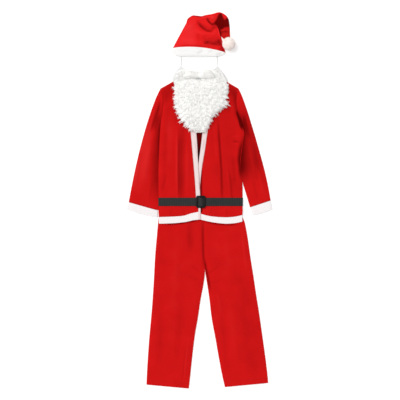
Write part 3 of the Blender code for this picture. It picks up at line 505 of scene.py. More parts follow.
def remap(tree, value, low, high, top=1.0):
    """0 where the value is low, and top where it is high."""
    ranged = node_of(tree, "ShaderNodeMapRange", From_Min=low, From_Max=high, To_Max=top)
    tree.links.new(value, ranged.inputs["Value"])
    return ranged.outputs["Result"]


def blend_colours(tree, factor, first, second):
    """Mix two colours; either can be a colour or another node's output."""
    mix = tree.nodes.new("ShaderNodeMix")
    mix.data_type = "RGBA"
    tree.links.new(factor, mix.inputs["Factor"])
    for socket, value in (("A", first), ("B", second)):
        place = [s for s in mix.inputs if s.name == socket and s.type == "RGBA"][0]
        if isinstance(value, tuple):
            place.default_value = (*value, 1)
        else:
            tree.links.new(value, place)
    return [s for s in mix.outputs if s.type == "RGBA"][0]


def bump(tree, height, strength, distance, below=None):
    """Turn a height into a surface normal, over another one if given."""
    node = node_of(tree, "ShaderNodeBump", Strength=strength, Distance=distance)
    tree.links.new(height, node.inputs["Height"])
    if below:
        tree.links.new(below, node.inputs["Normal"])
    return node.outputs["Normal"]


def tint(colour, amount):
    """The same colour, darker or brighter."""
    return tuple(min(channel * amount, 1) for channel in colour)


def fabric(name, roughness, sheen, sheen_tint, specular):
    """A cloth material with the usual sockets set, and its tree and coordinates."""
    material = bpy.data.materials.new(name)
    material.use_nodes = True
    tree = material.node_tree
    set_sockets(tree.nodes["Principled BSDF"], Roughness=roughness, Sheen_Weight=sheen,
                Sheen_Roughness=0.5, Sheen_Tint=(*sheen_tint, 1), Specular_IOR_Level=specular)
    return material, tree, tree.nodes.new("ShaderNodeTexCoord").outputs["Object"]


def wire(material, colour, normal):
    """Give a material its colour and its surface, and hand it back finished."""
    tree = material.node_tree
    tree.links.new(colour, tree.nodes["Principled BSDF"].inputs["Base Color"])
    tree.links.new(normal, tree.nodes["Principled BSDF"].inputs["Normal"])
    return material


# %% Felt material
SUIT_RED = (0.582, 0.0062, 0.0065)
# Painted shade and painted highlight colours, mixed in by the creases.
SUIT_PAINTED_SHADE = (0.115, 0.0002, 0.0003)
SUIT_PAINTED_HIGHLIGHT = (0.72, 0.030, 0.030)
HAT_RED = (0.755, 0.0115, 0.0120)
HAT_PAINTED_SHADE = (0.12, 0.0002, 0.0003)
HAT_PAINTED_HIGHLIGHT = (0.88, 0.045, 0.050)
FELT_PAINTED_DEEPEST_SHADE = (0.004, 0.0, 0.0)
FELT_FUZZ = (1.0, 0.20, 0.18)


def felt(name, body, painted_shade_colour, painted_highlight_colour):
    """Painted shade: -1 to 0 paints a lit ridge, up to 1 a fold, up to 2 a place that no light reaches.
    """
    material, tree, place = fabric(name, 0.92, 0.03, FELT_FUZZ, 0.04)
    nap_and_painted_shade = painted_shade_in(tree)
    matted = noise_at(tree, place, 260, 6.0, 0.62)
    cloudy = noise_at(tree, place, 11, 3.0)
    fibres = noise_at(tree, place, 900, 3.0, 0.7, (1.0, 0.35, 1.0))
    colour = blend_colours(tree, remap(tree, matted, 0.30, 0.75), tint(body, 0.84), body)
    colour = blend_colours(tree, remap(tree, cloudy, 0.35, 0.7, 0.35), colour, tint(body, 1.10))
    for low, high, painted_colour in ((0.0, -1.0, painted_highlight_colour), (0.0, 1.0, painted_shade_colour), (1.0, 2.0, FELT_PAINTED_DEEPEST_SHADE)):
        colour = blend_colours(tree, remap(tree, nap_and_painted_shade, low, high), colour, painted_colour)
    return wire(material, colour, bump(tree, fibres, 0.25, 0.0003, bump(tree, matted, 0.35, 0.0006)))


suit_felt = felt("suit_felt_red", SUIT_RED, SUIT_PAINTED_SHADE, SUIT_PAINTED_HIGHLIGHT)
hat_felt = felt("hat_felt_red", HAT_RED, HAT_PAINTED_SHADE, HAT_PAINTED_HIGHLIGHT)
print("felt colours, linear:", SUIT_RED, HAT_RED)

# %% [markdown]
# ## The jacket's back and fronts
# The jacket is an open front coat: one back panel under two fronts, all cut flat from felt. On the
# floor the fronts show, and the back only shows in the neckline. The sides are folded, so each front
# ends in a soft roll that stands over the sleeve beside it. The roll is given in a table: the outer
# edge is moved out by a few millimetres and lifted, and the crease table adds the drapes that hang
# from the shoulders, the chest and the armholes.

# %% Jacket back
NECKLINE_SHADE = (330, 250)


def paint_neckline_shade(thing, high, low):
    """Painted shade on the inside of the back, which shows in the neckline, darker still down in its
    point.
    """
    inside = ease(read_normals(thing)[:, 2] * 2)
    write_painted_shade(thing, inside * (1 + 0.9 * ease((high - read_points(thing)[:, 1]) / (high - low))))


back = make_cloth("jacket_back", (), 3, top_of("trouser_waistband"), rough=0)
paint_neckline_shade(back, *NECKLINE_SHADE)
dress(back, suit_felt, "suit_felt", "jacket_back", cut=(0.456, 0.764, 0.318), on=["trouser_waistband"])

# %% Jacket fronts
BELT_SPAN = (-7.5, 25.0)
FRONT_CUTS = {"right": (0.204, 0.759, 0.121), "left": (0.235, 0.761, 0.136)}
# The fourth value of each row is painted shade, a painted highlight where it is negative.
FRONT_CREASES = {
    "right": (
        (((-113, 412), (-112, 300), (-113, 180), (-112, -60)), 24, -2.2, 0.44, 0.78),
        (((-122, 400), (-121, 300), (-122, 180), (-121, 10)), 9, 1.7, -0.20, -0.2),
        (((-193, 545), (-198, 510), (-201, 470), (-204, 430)), 11, -2, 0.60, -0.3),
        (((-168, 480), (-160, 330), (-158, 140)), 26, 1, -0.10),
        (((-138, 560), (-126, 470), (-120, 400)), 22, -0.8, 0.14),
        (((-70, 330), (-66, 200), (-72, 40)), 14, 1.2, -0.10, 0.2),
        (((-204, 44), (-186, 96), (-176, 160)), 13, -1.1, 0.12, 0.2),
        (((-150, -44), (-157, -86)), 16, -1, 0.10),
        (((-80, -38), (-85, -80)), 14, -0.9, 0.10)),
    "left": (
        (((94, 480), (101, 410), (106, 330), (112, 246), (118, 165), (122, -60)), 12, -2.5, 0.56, 0.35),
        (((112, 440), (118, 330), (126, 220), (131, 30)), 10, 1.9, -0.14),
        (((154, 190), (168, 100), (178, -60)), 12, -1.6, 0.28, 0.3),
        (((146, 190), (159, 100), (166, 20)), 9, 1, -0.10),
        (((176, 316), (196, 319), (216, 312)), 6.5, -1.7, 0.42, 0.2),
        (((178, 303), (198, 306), (214, 299)), 7, 1.1, -0.12),
        (((178, 340), (198, 346), (218, 347)), 9, 1.1, -0.12),
        (((172, 640), (190, 560), (204, 490), (214, 420)), 32, -1.4, 0.36),
        (((148, 566), (158, 510), (164, 460)), 22, -0.8, 0.20),
        (((196, 492), (209, 444), (219, 404), (230, 368)), 14, -2, 1.20, 0.4),
        (((236, 350), (228, 310), (219, 270), (215, 220), (222, 150), (230, 90)), 13, -1, 0.80, -0.4),
        (((84, 400), (88, 300), (96, 200)), 16, 1.2, -0.10),
        (((178, 262), (187, 170), (190, 60)), 18, -1, 0.16),
        (((66, -38), (62, -76)), 14, -0.9, 0.10),
        (((146, -40), (152, -86)), 16, -1, 0.10))}

# The shoulders slope away from the light, and the beard and the bands shade what is next to them.
SHOULDER_SHADE = {
    "right": (
        (((-226, 560), (-196, 606), (-120, 656), (-110, 600), (-150, 560), (-196, 520)), 24, 0, 0.34),
        (((-102, 430), (-78, 430), (-76, 20), (-106, 20)), 12, 0, 0.10)),
    "left": (
        (((140, 656), (190, 606), (226, 560), (208, 500), (176, 560), (136, 600)), 34, 0, 0.26),
        (((50, 470), (236, 520), (236, 20), (110, 20)), 50, 0, 0.10),
        (((4, 170), (14, 170), (15, 14), (4, 14)), 5, 0, 0.85),
        (((4, -33), (15, -33), (17, -52), (12, -66), (4, -66)), 4, 0, 1))}

# By y: how high the rolled side of a front stands, and how far it reaches over the sleeve.
ROLLS = {
    "right": (
        (600, 0.5, 0), (540, 3.2, 1.5), (480, 6, 3.5), (400, 6.4, 4), (300, 5.4, 4),
        (210, 6.2, 3.5), (120, 4.4, 2), (60, 2.5, 0.5), (30, 0.6, 0), (-120, 0.4, 0)),
    "left": (
        (600, 0.5, 0), (540, 2.6, 1), (470, 4.6, 2.5), (400, 7.4, 6), (359, 8.8, 9),
        (330, 6.6, 4.5), (260, 5.8, 3.5), (192, 6, 2), (140, 3, 0), (60, 1.6, 0),
        (30, 0.6, 0), (-120, 0.4, 0))}
ROLL_WIDTH = 44.0
ROLL_PEAK = 13.0
ROLL_REACH = 26.0
ROLL_EDGE = 0.46
ROLL_WAVES = ((0.22, 37, 0), (0.14, 13, 1))


def roll_side(thing, direction, table):
    """Lift the outer side of a front into a soft roll and reach it out over the sleeve."""
    points = read_points(thing)
    y = points[:, 1]
    inset = direction * (edge_line(points, direction) - points[:, 0])
    wobble = 1.0
    for size, length, start in ROLL_WAVES:
        wobble = wobble + size * np.sin(y / length + start)
    outer = ROLL_EDGE + (1 - ROLL_EDGE) * np.sin(np.pi / 2 * np.clip(inset / ROLL_PEAK, 0, 1))
    inner = 1 - ease((inset - ROLL_PEAK) / (ROLL_WIDTH - ROLL_PEAK))
    points[:, 2] += at_height(y, table) * wobble * np.where(inset < ROLL_PEAK, outer, inner)
    write_points(thing, points)
    reach_side(thing, direction, lambda y: at_height(y, table, 2), ROLL_REACH)


below_fronts = top_of("jacket_back", "hem_band_back", "trouser_waistband")
for side, outward, seed in (("right", -1, 11), ("left", 1, 21)):
    front = make_cloth(f"jacket_front_{side}", FRONT_CREASES[side], seed, below_fronts,
                       areas=SHOULDER_SHADE[side], pressed=BELT_SPAN)
    roll_side(front, outward, ROLLS[side])
    dress(front, suit_felt, "suit_felt", f"jacket_front_{side}", cut=FRONT_CUTS[side],
          on=["jacket_back"])

# %% [markdown]
# ## The sleeves
# A sleeve is a tube of felt pressed flat. Only its upper ply can lift, so a crease moves the cloth
# above the hollow and leaves the lower ply on the floor. Deep stripes run down from each armhole,
# because the sleeve is cut wider than the arm's fold lets it lie, and they fade towards the cuff.

# %% Sleeves
SLEEVE_CUTS = {"right": (0.28, 0.66, 0.126), "left": (0.26, 0.64, 0.105)}
# The fourth value of each row is painted shade, a painted highlight where negative; the widest rows only
# paint.
SLEEVE_CREASES = {
    "right": (
        (((-200, 560), (-210, 450), (-218, 350), (-226, 240), (-227, 120), (-222, -60)),
         29, -2, 0.60, -0.72),
        (((-204, 470), (-216, 380), (-222, 280), (-222, 160)), 12, -0.6, 0.20),
        (((-206, 560), (-222, 500), (-240, 440), (-252, 400), (-266, 350)), 11, -2.6, 0.48, 0.2),
        (((-216, 470), (-232, 420), (-244, 370)), 11, -1.2, 0.25),
        (((-236, 510), (-254, 440), (-270, 370)), 9, 2.2, -0.16),
        (((-262, 330), (-284, 210), (-300, 90)), 20, 2.1, -0.08, 0.2),
        (((-300, 290), (-320, 170), (-334, 70)), 16, -1.5, 0.10),
        (((-320, 250), (-342, 130), (-356, 30)), 16, 1.7, -0.10),
        (((-250, 120), (-262, 40), (-272, -24)), 14, -1.3, 0.10, 0.2),
        (((-256, 470), (-300, 270), (-344, 30)), 66, 0, -0.30)),
    "left": (
        (((205, 480), (222, 400), (216, 330), (208, 280), (212, 210), (228, 140), (248, 50)),
         29, -2, 0.62, 0.72),
        (((196, 500), (210, 450), (223, 405), (236, 362)), 15, -2.4, 0.70, 0.4),
        (((206, 330), (206, 260), (214, 200), (226, 140)), 14, -0.6, 0.30),
        (((234, 480), (254, 405), (274, 320)), 18, -1.6, 0.28, 0.1),
        (((250, 470), (268, 400), (286, 330)), 12, 1.7, -0.10),
        (((266, 320), (282, 230), (302, 120)), 14, 2.2, -0.14, -0.1),
        (((288, 330), (308, 230), (328, 120)), 16, -1.6, 0.14),
        (((308, 200), (330, 110), (352, 20)), 16, 1.8, -0.10),
        (((290, 120), (304, 50), (322, -10)), 14, -1.3, 0.12),
        (((214, 560), (262, 300), (306, 60)), 100, 0, 0.42),
        (((214, 480), (230, 300), (248, 110)), 42, 0, 0.38))}

# By y: how far the inner edge of a sleeve reaches under the side of the body.
SLEEVE_TUCKS = {
    "right": ((560, 0), (480, 2), (300, 4), (150, 6), (60, 8), (-40, 6)),
    "left": ((560, 0), (480, 2), (300, 6), (180, 5), (110, 5.5), (70, 2.5), (20, 0))}
TUCK_WIDTH = 40.0

for side, inward, seed in (("right", 1, 31), ("left", -1, 41)):
    sleeve = make_cloth(f"sleeve_{side}", SLEEVE_CREASES[side], seed, angle=75)
    reach_side(sleeve, inward, lambda y: at_height(y, SLEEVE_TUCKS[side]), TUCK_WIDTH)
    dress(sleeve, suit_felt, "suit_felt", f"sleeve_{side}", cut=SLEEVE_CUTS[side])

# %% [markdown]
# ## The plush trims
# The front bands, the neck, the hems and the cuffs are strips of white short-pile plush. The pile makes
# them thicker and softer than the felt, with a rounded section and an edge that is slightly ragged. So
# each band is rounded more than felt is, swollen along its middle, and given two sizes of nap that are
# moved into the mesh itself. The finest fibres are left to the material's bump.

# %% Plush material
PLUSH_WHITE = (0.86, 0.815, 0.82)
PLUSH_SHADOW = (0.80, 0.66, 0.66)
BAND_WHITE = (0.80, 0.665, 0.66)
BAND_SHADOW = (0.52, 0.27, 0.27)
HAT_PLUSH_WHITE = (0.87, 0.865, 0.85)
HAT_PLUSH_SHADOW = (0.62, 0.60, 0.60)
UNTINTED = (1, 1, 1)


def plush(name, body, shadow):
    material, tree, place = fabric(name, 0.95, 0.25, UNTINTED, 0.08)
    clumps = noise_at(tree, place, 190, 4.0, 0.6)
    hairs = noise_at(tree, place, 700, 3.0, 0.7)
    napped = blend_colours(tree, remap(tree, clumps, 0.30, 0.62), tint(body, 0.93), body)
    # Painted shade on the mesh mixes the pile towards its shadow colour.
    colour = blend_colours(tree, remap(tree, painted_shade_in(tree), 0.0, 1.0), napped, shadow)
    return wire(material, colour, bump(tree, hairs, 0.35, 0.0005, bump(tree, clumps, 0.45, 0.0014)))


trim_plush = plush("trim_plush_white", PLUSH_WHITE, PLUSH_SHADOW)
band_plush = plush("band_plush_white", BAND_WHITE, BAND_SHADOW)
hat_plush = plush("hat_plush_white", HAT_PLUSH_WHITE, HAT_PLUSH_SHADOW)

# %% Bands, hems and cuffs
PLUSH_PUFF = 1.5
PLUSH_NAP = 0.34
PLUSH_CLUMP = 5.2
PLUSH_TUFT = 2.3
PLUSH_HOLD = 0.72
SLICE_POINTS = 60


def fluff(thing, nap_and_painted_shade, seed, low=0.25):
    """Move the nap of a pile into the mesh: clumps about 5 mm wide and finer tufts on them."""
    points = read_points(thing)
    rise = lumps(points, PLUSH_CLUMP, nap_and_painted_shade, seed) + lumps(points, PLUSH_TUFT, nap_and_painted_shade * 0.6, seed + 5)
    moved = points + read_normals(thing) * (rise + nap_and_painted_shade * 0.5)[:, None]
    moved[:, 2] = np.where(moved[:, 2] < low, np.maximum(points[:, 2], low * 0.4), moved[:, 2])
    write_points(thing, moved)


def strip_middle(points):
    """1 along a strip's middle and 0 at its sides, from the ends of the slice each point is in."""
    order = np.argsort(points[:, 1])
    share = np.zeros(len(points))
    for start in range(0, len(order), SLICE_POINTS):
        group = order[start:start + SLICE_POINTS]
        x = points[group, 0]
        low, high = x.min(), x.max()
        share[group] = 4 * (x - low) * (high - x) / max((high - low) ** 2, 1e-6)
    return np.sqrt(np.clip(share, 0, 1))


def swell(thing, amount):
    """Round the top of a strip: it rises towards the middle of its width."""
    points = read_points(thing)
    points[:, 2] += amount * strip_middle(points) * ease(read_normals(thing)[:, 2] * 2)
    write_points(thing, points)


def make_trim(node, levels, seed, table=(), puff=PLUSH_PUFF, edge=0.0):
    """A strip of plush: rounded, creased, swollen and napped, with shade painted along both its edges."""
    thing = copy_of(node, f"{node}_plush")
    hold_edges(thing, 60, PLUSH_HOLD)
    refine(thing, levels)
    points = read_points(thing)
    height, shade = summed(points, table, crease_share)
    points[:, 2] += height * ease(read_normals(thing)[:, 2] * 3)
    write_points(thing, points)
    # Painted shade along both edges of the strip.
    shade += edge * (1 - ease(strip_middle(points) * 1.25))
    write_painted_shade(thing, np.clip(shade, 0, 1))
    swell(thing, puff)
    fluff(thing, PLUSH_NAP, seed)
    return thing


# Below the belt the band narrows, and the cloth beside it reaches over to meet it.
LAP_START = -27.0
LAP_FADE = 9.0
LAP_EDGE = 6.5
LAP_SHARE = 0.50
LAP_REACH = 13.5
LAP_WIDTH = 34.0


def below_belt(y):
    return ease((LAP_START - y) / LAP_FADE)


def narrow_band(thing):
    """Draw the left side of a band in towards its right edge, below the belt."""
    points = read_points(thing)
    points[:, 0] += LAP_SHARE * np.maximum(LAP_EDGE - points[:, 0], 0) * below_belt(points[:, 1])
    write_points(thing, points)


def reach_lap(thing):
    """Reach the right side of a piece over to the narrowed band, below the belt."""
    reach_side(thing, 1, lambda y: LAP_REACH * below_belt(y), LAP_WIDTH, 3.0)


reach_lap(finished["jacket_front_right_cloth"])

# The fourth value of each row is painted shade in the band's creases.
BAND_CREASES = (
    (((-26, 330), (-17, 280), (-12, 230)), 5, -1, 0.45),
    (((-10, 200), (-2, 150), (0, 100), (2, 20)), 4, -0.9, 0.50),
    (((26, 340), (24, 300), (16, 268)), 5, -0.9, 0.45),
    (((20, 220), (16, 180), (10, 130)), 5, -0.8, 0.45),
    (((0, 96), (10, 70)), 6, -1, 0.35),
    (((8, -42), (12, -60)), 5, -0.8, 0.30))
# The right hem band lies over the felt's lower edge where both reach over to the narrowed band.
HEM_LIFT = ((((-112, -87), (-82, -84), (-58, -76), (-26, -68)), 10, 0.75, 0),)
TRIM_CUTS = {"front_band_right": (0.0275, 0.780, 0.0214), "front_band_left": (0.0242, 0.780, 0.0188),
             "hem_band_right": (0.038, 0.202, 0.0073), "hem_band_left": (0.034, 0.232, 0.0076),
             "cuff_right": (0.340, 0.042, 0.0136), "cuff_left": (0.250, 0.045, 0.0108),
             "neck_band": (0.025, 0.190, 0.0045), "hem_band_back": (0.031, 0.450, 0.0134)}
for side in ("right", "left"):
    for name, levels, seed, table, puff, edge, material, below in (
            ("front_band", 3, 51, BAND_CREASES, PLUSH_PUFF, 0.9, band_plush, "jacket_front"),
            ("hem_band", 4, 55, HEM_LIFT, 0, 0, trim_plush, "jacket_front"),
            ("cuff", 4, 61, (), 0, 0, trim_plush, "sleeve")):
        node = f"{name}_{side}"
        trim = make_trim(node, levels, seed, table, puff, edge)
        if name == "front_band":
            narrow_band(trim)
        if node == "hem_band_right":
            reach_lap(trim)
        dress(trim, material, "trim_plush", node, cut=TRIM_CUTS[node], on=[f"{below}_{side}"])
for node, seed, puff in (("neck_band", 71, PLUSH_PUFF), ("hem_band_back", 73, 0)):
    dress(make_trim(node, 3, seed, puff=puff), trim_plush, "trim_plush", node, cut=TRIM_CUTS[node],
          on=["jacket_back"])

# %% [markdown]
# ## The trousers
# The trousers are the plainest piece: a front and a back of felt on each leg, joined at the sides, the
# inseam and the centre, and gathered on an elastic waist that the jacket hides. The fronts carry long
# soft drapes down the legs and short creases that fan out from the crotch, where the seam pulls. Each
# leg is widened by 0.6 mm, so that the two overlap a little over the seam that joins them.

# %% Trouser legs
LEG_WIDENED = 0.6
LEG_CUTS = {"right": (0.315, 0.932, 0.229), "left": (0.362, 0.924, 0.228)}
# The fourth value of each row is painted shade, a painted highlight where negative; rows that do not rise
# only paint, as the shadow under the hem bands.
TROUSER_CREASES = {
    "right": (
        (((-50, -100), (-52, -180), (-46, -290)), 28, -1.5, 0.20, 0.1),
        (((-212, -131), (-150, -128), (-100, -122), (-50, -114), (14, -106)), 9, 0, 0.75),
        (((18, -70), (19, -200), (22, -300), (27, -390)), 12, -1, 0.52),
        (((14, -395), (-14, -370), (-50, -345)), 12, -1.3, 0.12, 0.2),
        (((8, -430), (-30, -424), (-70, -404)), 13, -1, 0.08),
        (((-120, -160), (-130, -400), (-150, -640)), 34, 1.3, -0.06, 0.1),
        (((-90, -480), (-110, -720), (-124, -940)), 30, -1.2, 0.08),
        (((-196, -430), (-208, -700), (-216, -970)), 30, -1, 0.07),
        (((-60, -740), (-72, -860), (-82, -990)), 8, 1.1, -0.12),
        (((-72, -780), (-84, -890), (-94, -990)), 7, -1.1, 0.10),
        (((-206, -110), (-200, -240), (-206, -380)), 26, -0.9, 0.06)),
    "left": (
        (((18, -70), (19, -200), (22, -300), (28, -390)), 12, -1, 0.52),
        (((24, -300), (33, -360), (46, -425), (60, -500)), 11, -1.4, 0.74, 0.3),
        (((2, -104), (36, -116), (90, -127), (170, -132), (232, -124)), 8.5, 0, 0.60),
        (((190, -300), (250, -560), (320, -1080)), 100, 0, 0.11),
        (((36, -400), (76, -380), (110, -352)), 12, -1.2, 0.10, 0.2),
        (((50, -440), (90, -440), (126, -420)), 13, -0.9, 0.08),
        (((228, -140), (240, -260), (256, -400)), 9, 1.1, -0.12),
        (((150, -480), (184, -720), (206, -940)), 34, 1.4, -0.06),
        (((112, -560), (136, -740), (152, -940)), 26, -1.2, 0.09),
        (((224, -480), (250, -660), (276, -880)), 30, -1.1, 0.04),
        (((96, -480), (108, -560), (122, -640)), 9, 1.2, -0.10),
        (((130, -130), (146, -260), (160, -400)), 30, 1.1, -0.05))}


def close_seams(thing):
    """Widen a leg in plan, so that it closes on the other."""
    write_points(thing, read_points(thing) + read_normals(thing) * (LEG_WIDENED, LEG_WIDENED, 0))


for side, seed in (("right", 81), ("left", 91)):
    lower, upper = f"trouser_back_{side}", f"trouser_front_{side}"
    leg = make_cloth(lower, (), seed, top_of(), levels=2, rough=0)
    close_seams(leg)
    dress(leg, suit_felt, "suit_felt", lower, cut=LEG_CUTS[side])
    leg = make_cloth(upper, TROUSER_CREASES[side], seed + 4, top_of(lower))
    close_seams(leg)
    dress(leg, suit_felt, "suit_felt", upper, cut=LEG_CUTS[side], on=[lower])

# %% [markdown]
# ## The waistband
# The waist is a casing of felt over elastic, gathered into close little pleats. It lies hidden under the
# jacket, but it is what holds the trousers up, so it is shaped: a wave along its length lifts the upper
# ply into gathers that fade at its two folded ends.

# %% Gathered waistband
GATHER_PITCH = 7.5
GATHER_HEIGHT = 0.35
GATHER_PAINTED_SHADE = 0.35
GATHER_STRAY = (1.6, 31.0)
WAIST_END = 212.0
WAIST_END_FADE = 20.0
WAIST_PLY = 3.0
WAIST_PLY_FADE = 1.4


def edit_all(thing, operator, **settings):
    """Run one of edit mode's operators on a whole mesh."""
    only(thing)
    bpy.ops.object.mode_set(mode="EDIT")
    bpy.ops.mesh.select_all(action="SELECT")
    operator(**settings)
    bpy.ops.object.mode_set(mode="OBJECT")


def make_waistband():
    thing = copy_of("trouser_waistband", "trouser_waistband_cloth")
    hold_edges(thing, 60)
    edit_all(thing, bpy.ops.mesh.subdivide, number_cuts=3)
    refine(thing, 2)
    points = read_points(thing)
    x, z = points[:, 0], points[:, 2]
    inside = ease((z - WAIST_PLY) / WAIST_PLY_FADE) * ease((WAIST_END - np.abs(x)) / WAIST_END_FADE)
    stray, stray_length = GATHER_STRAY
    dip = 0.5 - 0.5 * np.sin(x / GATHER_PITCH * 2 * np.pi + stray * np.sin(x / stray_length))
    points[:, 2] -= GATHER_HEIGHT * dip * inside
    write_points(thing, points)
    # Painted shade in the dips between the gathers.
    write_painted_shade(thing, GATHER_PAINTED_SHADE * dip * inside)
    return thing


dress(make_waistband(), suit_felt, "suit_felt", "trouser_waistband", cut=(0.960, 0.029, 0.0278),
      held="gathered")

# %% [markdown]
# ## The belt
# The belt is polypropylene webbing 45 mm wide, woven flat with fine ribs across it and a firmer edge
# along each side. It runs all round the jacket and presses it flat. The ribs are too fine to model one
# by one over its length, so they are bump, but the folds at the sides and the edges are shaped.

# %% Webbing material
WEB_GREY = (0.0162, 0.0168, 0.0164)
WEB_SHEEN = (0.7, 0.75, 0.75)
WEB_RIB = 1.5
WEB_WARP = 3.2


def waves_at(tree, place, direction, width):
    """A wave texture with ridges of a width in mm."""
    waves = node_of(tree, "ShaderNodeTexWave", Scale=1000 / width / 20)
    waves.bands_direction = direction
    tree.links.new(place, waves.inputs["Vector"])
    return waves


def webbing(name, body, roughness):
    material, tree, place = fabric(name, roughness, 0.08, WEB_SHEEN, 0.20)
    ribs = waves_at(tree, place, "X", WEB_RIB)
    set_sockets(ribs, Distortion=0.6, Detail=1.0)
    warp = waves_at(tree, place, "Y", WEB_WARP)
    ribbed = blend_colours(tree, remap(tree, ribs.outputs["Fac"], 0.1, 0.9), tint(body, 0.62),
                           tint(body, 1.25))
    worn = remap(tree, noise_at(tree, place, 60, 4.0), 0.35, 0.7, 0.35)
    ridged = bump(tree, ribs.outputs["Fac"], 0.6, 0.0005)
    return wire(material, blend_colours(tree, worn, ribbed, tint(body, 1.5)),
                bump(tree, warp.outputs["Fac"], 0.3, 0.0003, ridged))


belt_web = webbing("belt_web_grey", WEB_GREY, 0.62)


# %% Belt
def make_belt():
    thing = copy_of("belt", "belt_webbing")
    hold_edges(thing, 60, 0.85)
    edit_all(thing, bpy.ops.mesh.subdivide, number_cuts=1)
    refine(thing, 2)
    return thing


dress(make_belt(), belt_web, "belt_webbing", "belt", cut=(0.045, 0.950, 0.0427),
      on=["jacket_front_right", "jacket_front_left", "jacket_back"])

# %% [markdown]
# ## The slide buckle
# The buckle is one moulding of black plastic: a rounded frame with two slots and a bar between them.
# The webbing comes up through one slot, over the bar and down through the other, which grips it.

# %% Buckle
BUCKLE_BLACK = (0.0040, 0.0042, 0.0045)
BUCKLE_MIDDLE = -7.0
BUCKLE_ROUNDING = 0.9
SLOT_HALF = 24.5
SLOT_TRIM = 1.8


def moulded(name, colour):
    material, tree, place = fabric(name, 0.45, 0.0, UNTINTED, 0.13)
    shader = tree.nodes["Principled BSDF"]
    set_sockets(shader, Base_Color=(*colour, 1))
    tree.links.new(bump(tree, noise_at(tree, place, 1500, 3.0), 0.08, 0.0002), shader.inputs["Normal"])
    return material


def make_buckle():
    """The frame with its slots trimmed at their ends and every edge rounded, as a mould leaves it."""
    thing = copy_of("buckle", "slide_buckle")
    points = read_points(thing)
    off = points[:, 1] - BUCKLE_MIDDLE
    slot_ends = (np.abs(off) > SLOT_HALF - 3) & (np.abs(off) < SLOT_HALF + 2.5)
    points[slot_ends, 1] -= np.sign(off[slot_ends]) * SLOT_TRIM
    write_points(thing, points)
    edit_all(thing, bpy.ops.mesh.dissolve_limited, angle_limit=math.radians(2))
    soft = thing.modifiers.new("moulded edge", "BEVEL")
    soft.width = BUCKLE_ROUNDING * MM
    soft.segments = 3
    soft.limit_method = "ANGLE"
    soft.angle_limit = math.radians(38)
    bpy.ops.object.modifier_apply(modifier=soft.name)
    bpy.ops.object.shade_smooth_by_angle(angle=math.radians(35))
    return thing


dress(make_buckle(), moulded("buckle_black_plastic", BUCKLE_BLACK), "buckle_plastic", "buckle")

# %% [markdown]
# ## The hat
# The hat is a cone of felt whose tip has been folded over to one side, so the cloth bunches where it
# turns. The crown's solid fans round that fold. Its copy takes the bunching: deep creases run in from
# the turn, bright ridges stand beside them, and the tip lies over the edge of the cone.

# %% Hat crown
# The fourth value of each row is painted shade, a painted highlight where it is negative.
CROWN_CREASES = (
    (((-19, 972), (3, 945), (19, 929), (41, 915), (63, 911), (90, 924)), 12.5, -5.2, 0.62, 0.30),
    (((2, 968), (30, 944), (60, 933), (94, 932)), 12, 5, 0.10),
    (((38, 992), (44, 975), (52, 962), (66, 951), (92, 946)), 9.5, -5.5, 0.80, 0.15),
    (((-6, 986), (40, 988), (72, 990), (90, 982)), 12, 5, -0.22),
    (((60, 978), (74, 984), (84, 978)), 12, 3, -0.25),
    (((-30, 922), (20, 898), (66, 901), (104, 912)), 15, 3.2, -0.16),
    (((92, 946), (102, 926), (107, 905), (112, 884), (118, 862)), 6, 3.4, -0.22, -0.2),
    (((-96, 916), (-60, 930), (-26, 946)), 20, 2.4, -0.12),
    (((-116, 860), (-60, 862), (0, 852)), 22, 2, -0.12),
    (((-10, 905), (-6, 880), (4, 856)), 18, -1.6, 0.14),
    (((30, 878), (60, 884), (84, 896)), 12, 2, -0.14),
    (((22, 842), (36, 850), (54, 858)), 10, -2.6, 0.30),
    (((60, 842), (84, 846), (104, 844)), 10, -2, 0.12),
    (((98, 868), (108, 850), (122, 832)), 10, -2.4, 0.25),
    (((40, 846), (70, 834), (104, 828), (128, 816)), 6, 3.2, -0.22),
    (((108, 812), (126, 806), (140, 802)), 6, -1, 0.50),
    (((-128, 832), (-60, 836), (0, 834), (60, 828)), 5, -1.2, 0.40),
    (((-44, 1000), (0, 994), (40, 1000)), 7, -1.4, 0.35),
    (((122, 908), (140, 911), (158, 910)), 6, -1.6, 0.40),
    (((128, 892), (144, 894), (158, 890)), 10, 2, -0.10),
    # The last row paints shade along the crown's left and top edges, where the cloth turns under.
    (((-146, 812), (-120, 862), (-95, 913), (-65, 969), (-42, 994), (6, 991), (52, 995), (84, 1008)),
     5.5, 0, 0.42))

# Painted shade on the tip, which turns away from the light and lies in the shade of the fold that stands
# over it, and in the hollows of the crown; the row with a negative value paints a highlight on the cone's
# left side.
TIP_SHADE = (
    (((104, 1003), (90, 975), (76, 956), (95, 943), (108, 921), (116, 900), (126, 876), (130, 894),
    (124, 920), (137, 934), (168, 937), (168, 975), (152, 988), (136, 976), (126, 992), (120, 1006)),
     6.5, -2, 0.98),
    (((137, 934), (168, 937), (172, 870), (130, 874), (126, 905)), 8, 0.5, 0.36),
    (((108, 1012), (118, 1012), (124, 990), (114, 985)), 4, 1.6, 0.10),
    (((60, 944), (92, 950), (98, 930), (70, 924)), 8, 0, 0.34),
    (((-14, 976), (8, 962), (30, 930), (0, 925), (-20, 950)), 14, 0, 0.16),
    (((30, 856), (52, 860), (79, 856), (106, 874), (120, 868), (136, 826), (90, 830), (44, 838)),
     12, 0, 0.34),
    (((20, 880), (64, 896), (106, 884), (128, 846), (90, 834), (20, 846)), 18, 0, 0.22),
    (((-140, 826), (-70, 960), (-20, 975), (-30, 830)), 30, 0, -0.26),
    (((104, 818), (138, 803), (144, 808), (120, 830)), 4, 0, 0.45))

